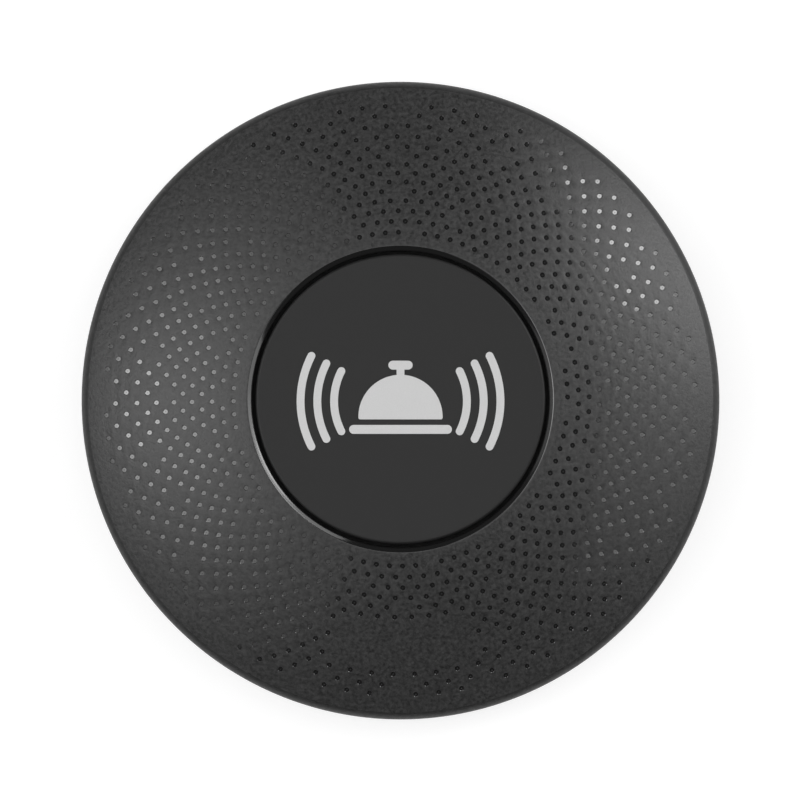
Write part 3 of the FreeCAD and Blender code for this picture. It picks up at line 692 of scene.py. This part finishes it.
def make_cover():
    dress(make_skin(), "housing", "cover_plastic", "top_cover")
    dress(make_well(), "housing", "cover_plastic")
    inside = around(cover_rib(), RIB_ANGLES) + around(screw_boss(), SCREW_ANGLES, SCREW_CIRCLE)
    ribs = make_object("cover_ribs_and_bosses", merged(inside), [COVER])
    dress(ribs, "housing", "cover_plastic")


# Button

HOOK_OUTER = BUTTON_RADIUS - 3.0 * MM
HOOK_WALL = 1.2 * MM
HOOK_INNER = HOOK_OUTER - HOOK_WALL
HOOK_WIDTH = 5.0 * MM
HOOK_ROOT = 0.3 * MM
BARB_REACH = 0.8 * MM
BARB_HEIGHT = 1.05 * MM
BARB_NOSE = 0.45 * MM
SLOT_INNER_PLAY = 0.9 * MM
SLOT_OUTER_PLAY = 0.2 * MM
SLOT_SIDE_PLAY = 0.3 * MM
SLOT_CORNER = 0.2 * MM
SKIRT_WALL = 1.4 * MM
SKIRT_BOTTOM = WELL_FLOOR_TOP + 1.0 * MM
BUTTON_FACE = 1.7 * MM
BUTTON_UNDER = BUTTON_TOP - BUTTON_FACE
BUTTON_ROUND = 0.4 * MM
FACE_MARGIN = 0.3 * MM
POST_RADIUS = 3.0 * MM
POST_BOTTOM = membrane_high.z + 0.35 * MM
SPRING_RING_RADIUS = 8.1 * MM
SPRING_RING_WALL = 0.7 * MM
SPRING_RING_DROP = 1.1 * MM
BUTTON_RIB_COUNT = 8
BUTTON_RIB_START = 9.2 * MM
BUTTON_RIB_HALF = 0.45 * MM
BUTTON_RIB_DROP = 0.7 * MM
PRINT_HEIGHT = 0.02 * MM
PRINTED_FACE = BUTTON_TOP - PRINT_HEIGHT


def hook_slot():
    """The cutter for a hook's slot in the well's floor."""
    low, high = HOOK_INNER - SLOT_INNER_PLAY, HOOK_OUTER + SLOT_OUTER_PLAY
    half = HOOK_WIDTH / 2 + SLOT_SIDE_PLAY
    points = rounded([(low, -half), (high, -half), (high, half), (low, half)], SLOT_CORNER)
    return prism(points, WELL_FLOOR_TOP - 2 * WELL_FLOOR, WELL_FLOOR_TOP + WELL_FLOOR)


def button_hook():
    top = HOOK_BOTTOM + BARB_HEIGHT
    outline = [(HOOK_INNER, BUTTON_UNDER + HOOK_ROOT), (HOOK_INNER, HOOK_BOTTOM), (HOOK_OUTER, HOOK_BOTTOM),
               (HOOK_OUTER + BARB_REACH, top - BARB_NOSE), (HOOK_OUTER + BARB_REACH, top), (HOOK_OUTER, top),
               (HOOK_OUTER, BUTTON_UNDER + HOOK_ROOT)]
    return upright(outline, HOOK_WIDTH)


def button_shell():
    """The button's face, skirt and press post in one turned outline."""
    face = PRINTED_FACE
    inner = BUTTON_RADIUS - SKIRT_WALL
    flat = BUTTON_RADIUS - BUTTON_ROUND
    sag = BUTTON_ROUND * ARC_SAG
    outline = [(0, face), (BUTTON_RADIUS / 2, face), (flat - FACE_MARGIN, face), (flat, face)]
    outline += arc((flat, face), (BUTTON_RADIUS - sag, face - sag), (BUTTON_RADIUS, face - BUTTON_ROUND), 8)
    outline += [(BUTTON_RADIUS, SKIRT_BOTTOM + CORNER), (BUTTON_RADIUS - CORNER, SKIRT_BOTTOM),
                (inner + CORNER, SKIRT_BOTTOM), (inner, SKIRT_BOTTOM + CORNER), (inner, BUTTON_UNDER),
                (POST_RADIUS, BUTTON_UNDER), (POST_RADIUS, POST_BOTTOM + CORNER),
                (POST_RADIUS - CORNER, POST_BOTTOM), (0, POST_BOTTOM)]
    return lathe(outline, 256)


def make_button():
    """The button with its hooks, the ring that centres its spring, and the ribs under its face."""
    root = BUTTON_UNDER + JOIN
    ring_inner = SPRING_RING_RADIUS - SPRING_RING_WALL
    ring_bottom = BUTTON_UNDER - SPRING_RING_DROP
    rib_end = BUTTON_RADIUS - SKIRT_WALL + JOIN
    ring = lathe([(SPRING_RING_RADIUS, root), (SPRING_RING_RADIUS, ring_bottom), (ring_inner, ring_bottom),
                  (ring_inner, root)], 96)
    rib = prism([(BUTTON_RIB_START, -BUTTON_RIB_HALF), (rib_end, -BUTTON_RIB_HALF),
                 (rib_end, BUTTON_RIB_HALF), (BUTTON_RIB_START, BUTTON_RIB_HALF)],
                BUTTON_UNDER - BUTTON_RIB_DROP, root)
    rib_angles = [360 * n / BUTTON_RIB_COUNT for n in range(BUTTON_RIB_COUNT)]
    parts = [button_shell()] + around(button_hook(), HOOK_ANGLES) + [ring] + around(rib, rib_angles)
    dress(make_object("button_cap", merged(parts), [BUTTON]), "button", "button_plastic", "call_button")


# Service bell and sound waves printed on the button

BELL_RADIUS = 5.9 * MM
BELL_BASE = -2.5 * MM
BELL_TOP = BELL_BASE + BELL_RADIUS
BELL_FOOT = 0.35 * MM
BELL_CORNER = 0.25 * MM
BELL_LINE = 1.25 * MM
PLATE_WIDTH = 14.4 * MM
PLATE_DROP = 1.75 * MM
KNOB_WIDTH = 3.4 * MM
KNOB_RISE = 1.35 * MM
NECK_HALF = 0.55 * MM
NECK_SINK = 0.2 * MM
NECK_RISE = 1.0 * MM
WAVE_RADII = (9.3 * MM, 11.65 * MM, 14.0 * MM)
WAVE_LINE = 1.1 * MM
WAVE_HALF_ANGLE = 27.0
WAVE_CENTRE = -0.3 * MM


def wave(radius, line, middle):
    """An arc with round ends, about a middle angle in degrees."""
    first, last = middle - WAVE_HALF_ANGLE, middle + WAVE_HALF_ANGLE
    start, end = math.radians(first), math.radians(last)
    outer = ring_of(0, WAVE_CENTRE, radius + line / 2, first, last, 40)
    inner = ring_of(0, WAVE_CENTRE, radius - line / 2, last, first, 40)
    end_cap = ring_of(radius * math.cos(end), WAVE_CENTRE + radius * math.sin(end), line / 2,
                      last, last + 180, 10)[1:-1]
    start_cap = ring_of(radius * math.cos(start), WAVE_CENTRE + radius * math.sin(start), line / 2,
                        first + 180, first + 360, 10)[1:-1]
    return outer + end_cap + inner + start_cap


def make_pictogram():
    dome = ring_of(0, BELL_BASE, BELL_RADIUS, 0, 180, 48)
    foot = BELL_BASE - BELL_FOOT
    bell = rounded([(BELL_RADIUS, foot)] + dome + [(-BELL_RADIUS, foot)],
                   [BELL_CORNER] + [0] * len(dome) + [BELL_CORNER])
    plate = bar(0, BELL_BASE - PLATE_DROP, PLATE_WIDTH, BELL_LINE)
    knob = bar(0, BELL_TOP + KNOB_RISE, KNOB_WIDTH, BELL_LINE)
    waves = [wave(radius, WAVE_LINE, middle) for radius in WAVE_RADII for middle in (180, 0)]
    shapes = [bell, plate, knob] + waves
    parts = [prism(shape, PRINTED_FACE - PRINT_HEIGHT / 2, BUTTON_TOP) for shape in shapes]
    low, high = BELL_TOP - NECK_SINK, BELL_TOP + NECK_RISE
    neck = [(NECK_HALF, low), (NECK_HALF, high), (-NECK_HALF, high), (-NECK_HALF, low)]
    parts.append(prism(neck, PRINTED_FACE - PRINT_HEIGHT / 3, BUTTON_TOP - PRINT_HEIGHT / 4))
    pictogram = make_object("bell_pictogram", merged(parts), [PRINT], angle=30)
    dress(pictogram, "button", "white_gloss")


# Base shell

BASE_BOTTOM = cap_low.z - 0.2 * MM
BASE_FLOOR = 2.2 * MM
BASE_FLOOR_TOP = BASE_BOTTOM + BASE_FLOOR
BASE_TAPER = 7.0 * MM
BASE_BULGE = 0.7 * MM
BASE_WALL = 1.8 * MM
BASE_LAND_RADIUS = 17.5 * MM
HEEL_MARGIN = 0.6 * MM
HEEL_POINTS = ((-0.25 * MM, 0.01 * MM), (0.05 * MM, 0.04 * MM))
LIP_HEIGHT = 0.5 * MM
LIP_REVEAL = 0.5 * MM
TONGUE_WALL = 1.6 * MM
TONGUE_PLAY = 0.15 * MM
RIM_SEAL_GROOVE = 0.76 * MM
CAP_LEDGE = BASE_BOTTOM + 1.2 * MM
CAP_RADIUS = cap_high.x
CAP_PLAY = 0.3 * MM
PLUG_RADIUS = 12.9 * MM
PLUG_PLAY = 0.25 * MM
LUG_RADIUS = 14.2 * MM
LUG_HALF_ANGLE = 12.0
NOTCH_HALF_ANGLE = 14.0
NOTCH_SINK = 1.0 * MM
CAP_TURN_ANGLE = 40.0
SCREW_SINK = 2.2 * MM
SCREW_WELL_RADIUS = 2.6 * MM
SCREW_HOLE_RADIUS = 1.45 * MM
POST_OUTER = 2.8 * MM
POST_ROOT = 1.0 * MM
POST_TOP = BOSS_BOTTOM - 0.1 * MM
BOARD_POST_RADIUS = 2.4 * MM
BOARD_POST_CIRCLE = 26.3 * MM
FOOT_CIRCLE = 30.0 * MM
FOOT_RADIUS = 4.9 * MM
FOOT_PLAY = 0.1 * MM
FOOT_RECESS = 0.5 * MM
CUT_OVER = 2.0 * MM


def bulge(start, end, size):
    """The middle of an arc that bulges out and down between two outline points."""
    across, rise = end[0] - start[0], end[1] - start[1]
    length = math.hypot(across, rise)
    x, y = (start[0] + end[0]) / 2, (start[1] + end[1]) / 2
    return (x + size * abs(rise) / length, y - size * abs(across) / length)


def tray_outline():
    """The tray's section, from the middle of its bottom round the side and tongue to its floor."""
    flat = COVER_RADIUS - BASE_TAPER
    lip = COVER_RADIUS - LIP_REVEAL
    tongue_outer = COVER_RADIUS - COVER_WALL - TONGUE_PLAY
    tongue_inner = tongue_outer - TONGUE_WALL
    tongue_top = base_high.z
    groove = tongue_outer - RIM_SEAL_GROOVE
    start, end = (flat, BASE_BOTTOM), (lip, PARTING - LIP_HEIGHT)
    inside_start, inside_end = (tongue_inner, PARTING), (flat - BASE_WALL, BASE_FLOOR_TOP)
    outline = [(0, BASE_BOTTOM), (BASE_LAND_RADIUS, BASE_BOTTOM), (flat - HEEL_MARGIN, BASE_BOTTOM)]
    outline += [(flat + across, BASE_BOTTOM + rise) for across, rise in HEEL_POINTS]
    outline += arc(start, bulge(start, end, BASE_BULGE), end, 26)[1:]
    outline += [(lip, PARTING - CORNER), (lip - CORNER, PARTING), (tongue_outer, PARTING),
                (tongue_outer, rim_seal_low.z), (groove, rim_seal_low.z), (groove, rim_seal_high.z),
                (tongue_outer, rim_seal_high.z), (tongue_outer, tongue_top - CORNER),
                (tongue_outer - CORNER, tongue_top), (tongue_inner, tongue_top), inside_start]
    outline += arc(inside_start, bulge(inside_end, inside_start, BASE_BULGE), inside_end, 16)
    return outline + [(0, BASE_FLOOR_TOP)]


def make_base():
    """The tray with its posts, screw holes, foot seats and the battery cap's opening."""
    base = make_object("base_tray", lathe(tray_outline(), 256), [BASE])
    post = tube(POST_OUTER, BASE_BOTTOM + POST_ROOT, POST_TOP)
    board_post = tube(BOARD_POST_RADIUS, BASE_FLOOR_TOP - POST_ROOT, board_low.z)
    carve(base, around(post, SCREW_ANGLES, SCREW_CIRCLE)
          + around(board_post, BOARD_POST_ANGLES, BOARD_POST_CIRCLE), "UNION")

    under, over = BASE_BOTTOM - CUT_OVER, BASE_FLOOR_TOP + CUT_OVER
    recess = tube(CAP_RADIUS + CAP_PLAY, under, CAP_LEDGE, 128)
    opening = tube(PLUG_RADIUS + PLUG_PLAY, BASE_BOTTOM, over, 128)
    well = tube(SCREW_WELL_RADIUS, under, BASE_BOTTOM + SCREW_SINK)
    hole = tube(SCREW_HOLE_RADIUS, BASE_BOTTOM, POST_TOP + CUT_OVER)
    seat = tube(FOOT_RADIUS + FOOT_PLAY, under, BASE_BOTTOM + FOOT_RECESS)
    notches = [sector(PLUG_RADIUS - CUT_OVER, LUG_RADIUS + CAP_PLAY, CAP_LEDGE - NOTCH_SINK, over,
                      angle - CAP_TURN_ANGLE, NOTCH_HALF_ANGLE) for angle in LUG_ANGLES]
    carve(base, [recess] + around(well, SCREW_ANGLES, SCREW_CIRCLE) + around(seat, FOOT_ANGLES, FOOT_CIRCLE))
    carve(base, [opening] + around(hole, SCREW_ANGLES, SCREW_CIRCLE))
    carve(base, notches)
    dress(base, "housing", "base_plastic", "base_shell")


# Feet

FOOT_ROUND = 0.35 * MM
FOOT_GROOVES = 3
FOOT_GROOVE_HALF = 0.15 * MM
FOOT_GROOVE_DEPTH = 0.08 * MM


def make_feet():
    """Four round pads with ring grooves in the face that stands on the table."""
    sag = FOOT_ROUND * ARC_SAG
    side = (FOOT_RADIUS, FOOT_ROUND)
    outline = [(0, feet_high.z), (FOOT_RADIUS, feet_high.z), side]
    outline += arc(side, (FOOT_RADIUS - sag, sag), (FOOT_RADIUS - FOOT_ROUND, 0), 6)
    for n in range(FOOT_GROOVES, 0, -1):
        groove = FOOT_RADIUS * n / (FOOT_GROOVES + 1)
        outline += [(groove + FOOT_GROOVE_HALF, 0), (groove, FOOT_GROOVE_DEPTH),
                    (groove - FOOT_GROOVE_HALF, 0)]
    outline += [(0, 0)]
    feet = around(lathe(outline, 96), FOOT_ANGLES, FOOT_CIRCLE)
    dress(make_object("foot_pads", merged(feet), [RUBBER]), "housing", "foot_rubber", "rubber_feet")


# Battery cap

COIN_SLOT_LENGTH = 17.0 * MM
COIN_SLOT_WIDTH = 1.9 * MM
COIN_SLOT_DEPTH = 0.8 * MM
FLANGE_TOP = CAP_LEDGE - 0.05 * MM
CAP_FACE_MARGIN = 2.2 * MM
CAP_CHAMFER = 0.25 * MM
CAP_SEAL_GROOVE = 0.6 * MM
PLUG_WALL = 1.4 * MM
PLUG_POCKET = 0.6 * MM
LUG_BOTTOM = BASE_FLOOR_TOP + 0.1 * MM
LUG_ROOT = 0.4 * MM


def make_battery_cap():
    """The coin-turned cap with its plug and bayonet lugs."""
    bottom, top = cap_low.z, cap_high.z
    seal_outer = cap_seal_high.x
    seal_inner = seal_outer - CAP_SEAL_GROOVE
    pocket = PLUG_RADIUS - PLUG_WALL
    outline = [(0, bottom), (CAP_RADIUS - CAP_FACE_MARGIN, bottom), (CAP_RADIUS - CAP_CHAMFER, bottom),
               (CAP_RADIUS, bottom + CAP_CHAMFER), (CAP_RADIUS, FLANGE_TOP), (seal_outer, FLANGE_TOP),
               (seal_outer, cap_seal_low.z), (seal_inner, cap_seal_low.z), (seal_inner, FLANGE_TOP),
               (PLUG_RADIUS, FLANGE_TOP), (PLUG_RADIUS, top), (pocket, top), (pocket, top - PLUG_POCKET),
               (0, top - PLUG_POCKET)]
    cap = make_object("battery_door", lathe(outline, 192), [BASE])
    slot = bar(0, 0, COIN_SLOT_LENGTH, COIN_SLOT_WIDTH)
    carve(cap, [prism(slot, bottom - CUT_OVER / 2, bottom + COIN_SLOT_DEPTH)])
    carve(cap, [sector(PLUG_RADIUS - LUG_ROOT, LUG_RADIUS, LUG_BOTTOM, top, angle, LUG_HALF_ANGLE)
                for angle in LUG_ANGLES], "UNION")
    dress(cap, "battery_cap", "base_plastic", "battery_cap")


# Spring, membrane and snap dome, which change shape with the press; here each only gets a mesh of its own

WIRE_RADIUS = 0.3 * MM
SPRING_TURNS = 2.5
SPRING_STEPS = 160
WIRE_SIDES = 16
WEB_HEIGHT = 0.5 * MM
WEB_CORNER = 0.15 * MM
MEMBRANE_POCKET_RADIUS = 1.5 * MM
MEMBRANE_POCKET_BOTTOM = LIP_TOP - 0.2 * MM
SNAP_SHEET = 0.1 * MM
SNAP_STEPS = 8


def make_spring():
    """The return spring, a round wire wound between the well's floor and the button."""
    radius = spring_high.x - WIRE_RADIUS
    low, high = spring_low.z + WIRE_RADIUS, spring_high.z - WIRE_RADIUS
    verts, faces = [], []
    for step in range(SPRING_STEPS + 1):
        share = step / SPRING_STEPS
        angle = FULL_TURN * SPRING_TURNS * share
        out = Vector((math.cos(angle), math.sin(angle), 0))
        centre = out * radius + Vector((0, 0, low + (high - low) * share))
        for side in range(WIRE_SIDES):
            turn = FULL_TURN * side / WIRE_SIDES
            across = out * (WIRE_RADIUS * math.cos(turn)) + Vector((0, 0, WIRE_RADIUS * math.sin(turn)))
            verts.append(tuple(centre + across))
    rings = [list(range(step * WIRE_SIDES, (step + 1) * WIRE_SIDES)) for step in range(SPRING_STEPS + 1)]
    for ring, following in zip(rings, rings[1:]):
        faces += band(ring, following)
    faces += [rings[0][::-1], rings[-1]]
    spring = make_object("press_spring", (verts, faces), [WIRE])
    dress(spring, "housing", "spring_steel", "return_spring")
    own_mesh(spring)


def make_membrane():
    """The seal over the switch's hole: a ring round the lip, a web, and a pad under the press post."""
    outer, top = membrane_high.x, membrane_high.z
    inner = SWITCH_HOLE_RADIUS + LIP_WALL
    web_top = LIP_TOP + WEB_HEIGHT
    outline = [(0, MEMBRANE_POCKET_BOTTOM), (MEMBRANE_POCKET_RADIUS, MEMBRANE_POCKET_BOTTOM),
               (MEMBRANE_POCKET_RADIUS, LIP_TOP), (inner, LIP_TOP), (inner, WELL_FLOOR_TOP),
               (outer, WELL_FLOOR_TOP), (outer, web_top - WEB_CORNER), (outer - WEB_CORNER, web_top),
               (POST_RADIUS + WEB_CORNER, web_top), (POST_RADIUS, web_top + WEB_CORNER),
               (POST_RADIUS, top - WEB_CORNER), (POST_RADIUS - WEB_CORNER, top), (0, top)]
    membrane = make_object("switch_seal", lathe(outline, 96), [SILICONE])
    dress(membrane, "housing", "seal_silicone", "seal_membrane")
    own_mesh(membrane)


def make_snap_dome():
    """The thin domed disc that clicks under the plunger."""
    reach = snap_high.x
    rise = snap_high.z - snap_low.z - SNAP_SHEET
    curve = (reach ** 2 + rise ** 2) / (2 * rise)
    radii = [reach * n / SNAP_STEPS for n in range(SNAP_STEPS + 1)]
    under = [(radius, snap_low.z + math.sqrt(curve ** 2 - radius ** 2) - curve + rise) for radius in radii]
    over = [(radius, height + SNAP_SHEET) for radius, height in reversed(under)]
    dome = make_object("snap_disc", lathe(under + over, 48), [NICKEL])
    dress(dome, "housing", "contact_metal", "snap_dome")
    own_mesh(dome)


# CAD nodes that keep their shape

NODE_MATERIALS = {
    "rim_seal": RUBBER, "battery_cap_seal": RUBBER, "base_screws": ZINC, "board_screws": ZINC,
    "circuit_board": BOARD, "switch_base": HOUSING, "switch_plate": NICKEL, "switch_terminals": NICKEL,
    "switch_plunger": PLUNGER, "controller_chip": RESIN, "radio_can": NICKEL, "crystal": NICKEL,
    "indicator_led": LENS, "board_resistors": RESIN, "board_capacitors": CERAMIC, "antenna_strip": NICKEL,
    "battery_can": CELL, "battery_lid": CELL, "battery_gasket": HOUSING, "battery_holder": HOUSING,
    "contact_plus": NICKEL, "contact_minus": NICKEL,
}


def dress_nodes():
    for name, material in NODE_MATERIALS.items():
        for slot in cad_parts[name].material_slots:
            slot.material = material


# Floor

FLOOR_REACH = 3.0
FLOOR_GREY = 0.4
FLOOR_ROUGHNESS = 0.9
WHITE_LIFT = 0.72


def make_floor():
    """A pale floor that shows white to the camera, in gloss and through clear pieces, with the object's
    shadow on it, and that can be looked through from below."""
    material, nodes, links, shader = node_tree("floor_pale")
    shader.inputs["Base Color"].default_value = (*grey(FLOOR_GREY), 1)
    shader.inputs["Roughness"].default_value = FLOOR_ROUGHNESS
    shader.inputs["Emission Color"].default_value = (1, 1, 1, 1)
    path = nodes.new("ShaderNodeLightPath")
    total = path.outputs["Is Camera Ray"]
    for ray in ("Is Glossy Ray", "Is Transmission Ray"):
        add = nodes.new("ShaderNodeMath")
        links.new(total, add.inputs[0])
        links.new(path.outputs[ray], add.inputs[1])
        total = add.outputs[0]
    lift = nodes.new("ShaderNodeMath")
    lift.operation = "MULTIPLY"
    lift.inputs[1].default_value = WHITE_LIFT
    links.new(total, lift.inputs[0])
    links.new(lift.outputs[0], shader.inputs["Emission Strength"])
    clear = nodes.new("ShaderNodeBsdfTransparent")
    side = nodes.new("ShaderNodeNewGeometry")
    mix = nodes.new("ShaderNodeMixShader")
    links.new(side.outputs["Backfacing"], mix.inputs["Fac"])
    links.new(shader.outputs["BSDF"], mix.inputs[1])
    links.new(clear.outputs["BSDF"], mix.inputs[2])
    links.new(mix.outputs["Shader"], nodes["Material Output"].inputs["Surface"])
    corners = [(x, y, 0) for x, y in ring_of(0, 0, 2 * FLOOR_REACH, 90, 330, 2)]
    mesh = bpy.data.meshes.new("floor")
    mesh.from_pydata(corners, [], [[0, 1, 2]])
    mesh.materials.append(material)
    floor = bpy.data.objects.new("floor", mesh)
    bpy.context.scene.collection.objects.link(floor)


# Lights

LIGHT_HEIGHT = 0.8
EDGE_LIGHT_HEIGHT = 0.79
WORLD_GREY = 0.08


def add_panel(name, shape, x, y, width, depth, radiance, turn=0.0, height=LIGHT_HEIGHT):
    """A level panel over the object, hidden from the camera. Its place and size are shares of its
    height, and its turn is in degrees."""
    light = bpy.data.lights.new(name, "AREA")
    light.shape = shape
    light.size, light.size_y = width * height, depth * height
    area = light.size * light.size_y * (math.pi / 4 if shape == "ELLIPSE" else 1)
    light.energy = radiance * math.pi * area
    lamp = bpy.data.objects.new(name, light)
    lamp.location = (x * height, y * height, height)
    lamp.rotation_euler = (0, 0, math.radians(turn))
    lamp.visible_camera = False
    bpy.context.scene.collection.objects.link(lamp)


def make_lights():
    """A soft round light on the left and a long panel on the right, each with a brighter middle, a small
    fill overhead and a dim even surround."""
    add_panel("left_far", "ELLIPSE", -2.4, 0, 1.0, 3.0, 0.35)
    add_panel("left_peak", "ELLIPSE", -1.4, 0, 0.62, 0.5, 5.0)
    add_panel("left_core", "ELLIPSE", -1.25, 0, 1.02, 1.0, 3.0)
    add_panel("left_inner", "ELLIPSE", -1.17, 0, 1.1, 1.66, 2.0)
    add_panel("left_middle", "ELLIPSE", -1.12, 0, 1.5, 2.0, 1.1)
    add_panel("left_wide", "ELLIPSE", -1.0, 0.04, 1.75, 2.9, 0.55)
    add_panel("right_core", "RECTANGLE", 1.24, 0.98, 0.58, 0.95, 6.0, turn=12)
    add_panel("right_middle", "RECTANGLE", 2.0, 1.15, 2.3, 2.4, 1.4)
    add_panel("right_far", "ELLIPSE", 2.72, 0.9, 0.8, 1.6, 14.0)
    add_panel("right_edge", "ELLIPSE", 2.34, 1.2, 0.7, 1.8, 3.6, turn=32, height=EDGE_LIGHT_HEIGHT)
    add_panel("right_wide", "RECTANGLE", 2.05, 0.62, 2.4, 2.95, 1.2)
    add_panel("near_fill", "ELLIPSE", 0.1, 0.06, 0.8, 0.8, 1.3)
    world = bpy.data.worlds.new("studio")
    world.use_nodes = True
    world.node_tree.nodes["Background"].inputs["Color"].default_value = (*grey(WORLD_GREY), 1)
    bpy.context.scene.world = world


# Camera

CAMERA_ELEVATION = math.radians(89.0)
CAMERA_LENS = 500.0
CAMERA_CLIP = (0.05, 20)
SENSOR = 36.0
FRAME_PIXELS = 800
OUTLINE_RADIUS_PIXELS = 318.9


def make_camera():
    """A long lens from almost straight above, so far away that the cover's outline fills its part."""
    data = bpy.data.cameras.new("camera")
    data.lens, data.sensor_width = CAMERA_LENS, SENSOR
    data.clip_start, data.clip_end = CAMERA_CLIP
    data.dof.use_dof = False
    camera = bpy.data.objects.new("camera", data)
    bpy.context.scene.collection.objects.link(camera)
    distance = CAMERA_LENS / SENSOR * FRAME_PIXELS * COVER_RADIUS / OUTLINE_RADIUS_PIXELS
    back = Vector((0, -math.cos(CAMERA_ELEVATION), math.sin(CAMERA_ELEVATION)))
    half_pixel = COVER_RADIUS / OUTLINE_RADIUS_PIXELS / 2
    camera.location = Vector((-half_pixel, half_pixel, (PARTING + RIM_HEIGHT) / 2)) + back * distance
    camera.rotation_mode = "QUATERNION"
    camera.rotation_quaternion = back.to_track_quat("Z", "Y")
    bpy.context.scene.camera = camera


make_camera()
make_lights()
make_floor()
make_cover()
make_button()
make_pictogram()
make_base()
make_feet()
make_battery_cap()
make_spring()
make_membrane()
make_snap_dome()
dress_nodes()

bpy.context.scene.view_settings.view_transform = "Standard"
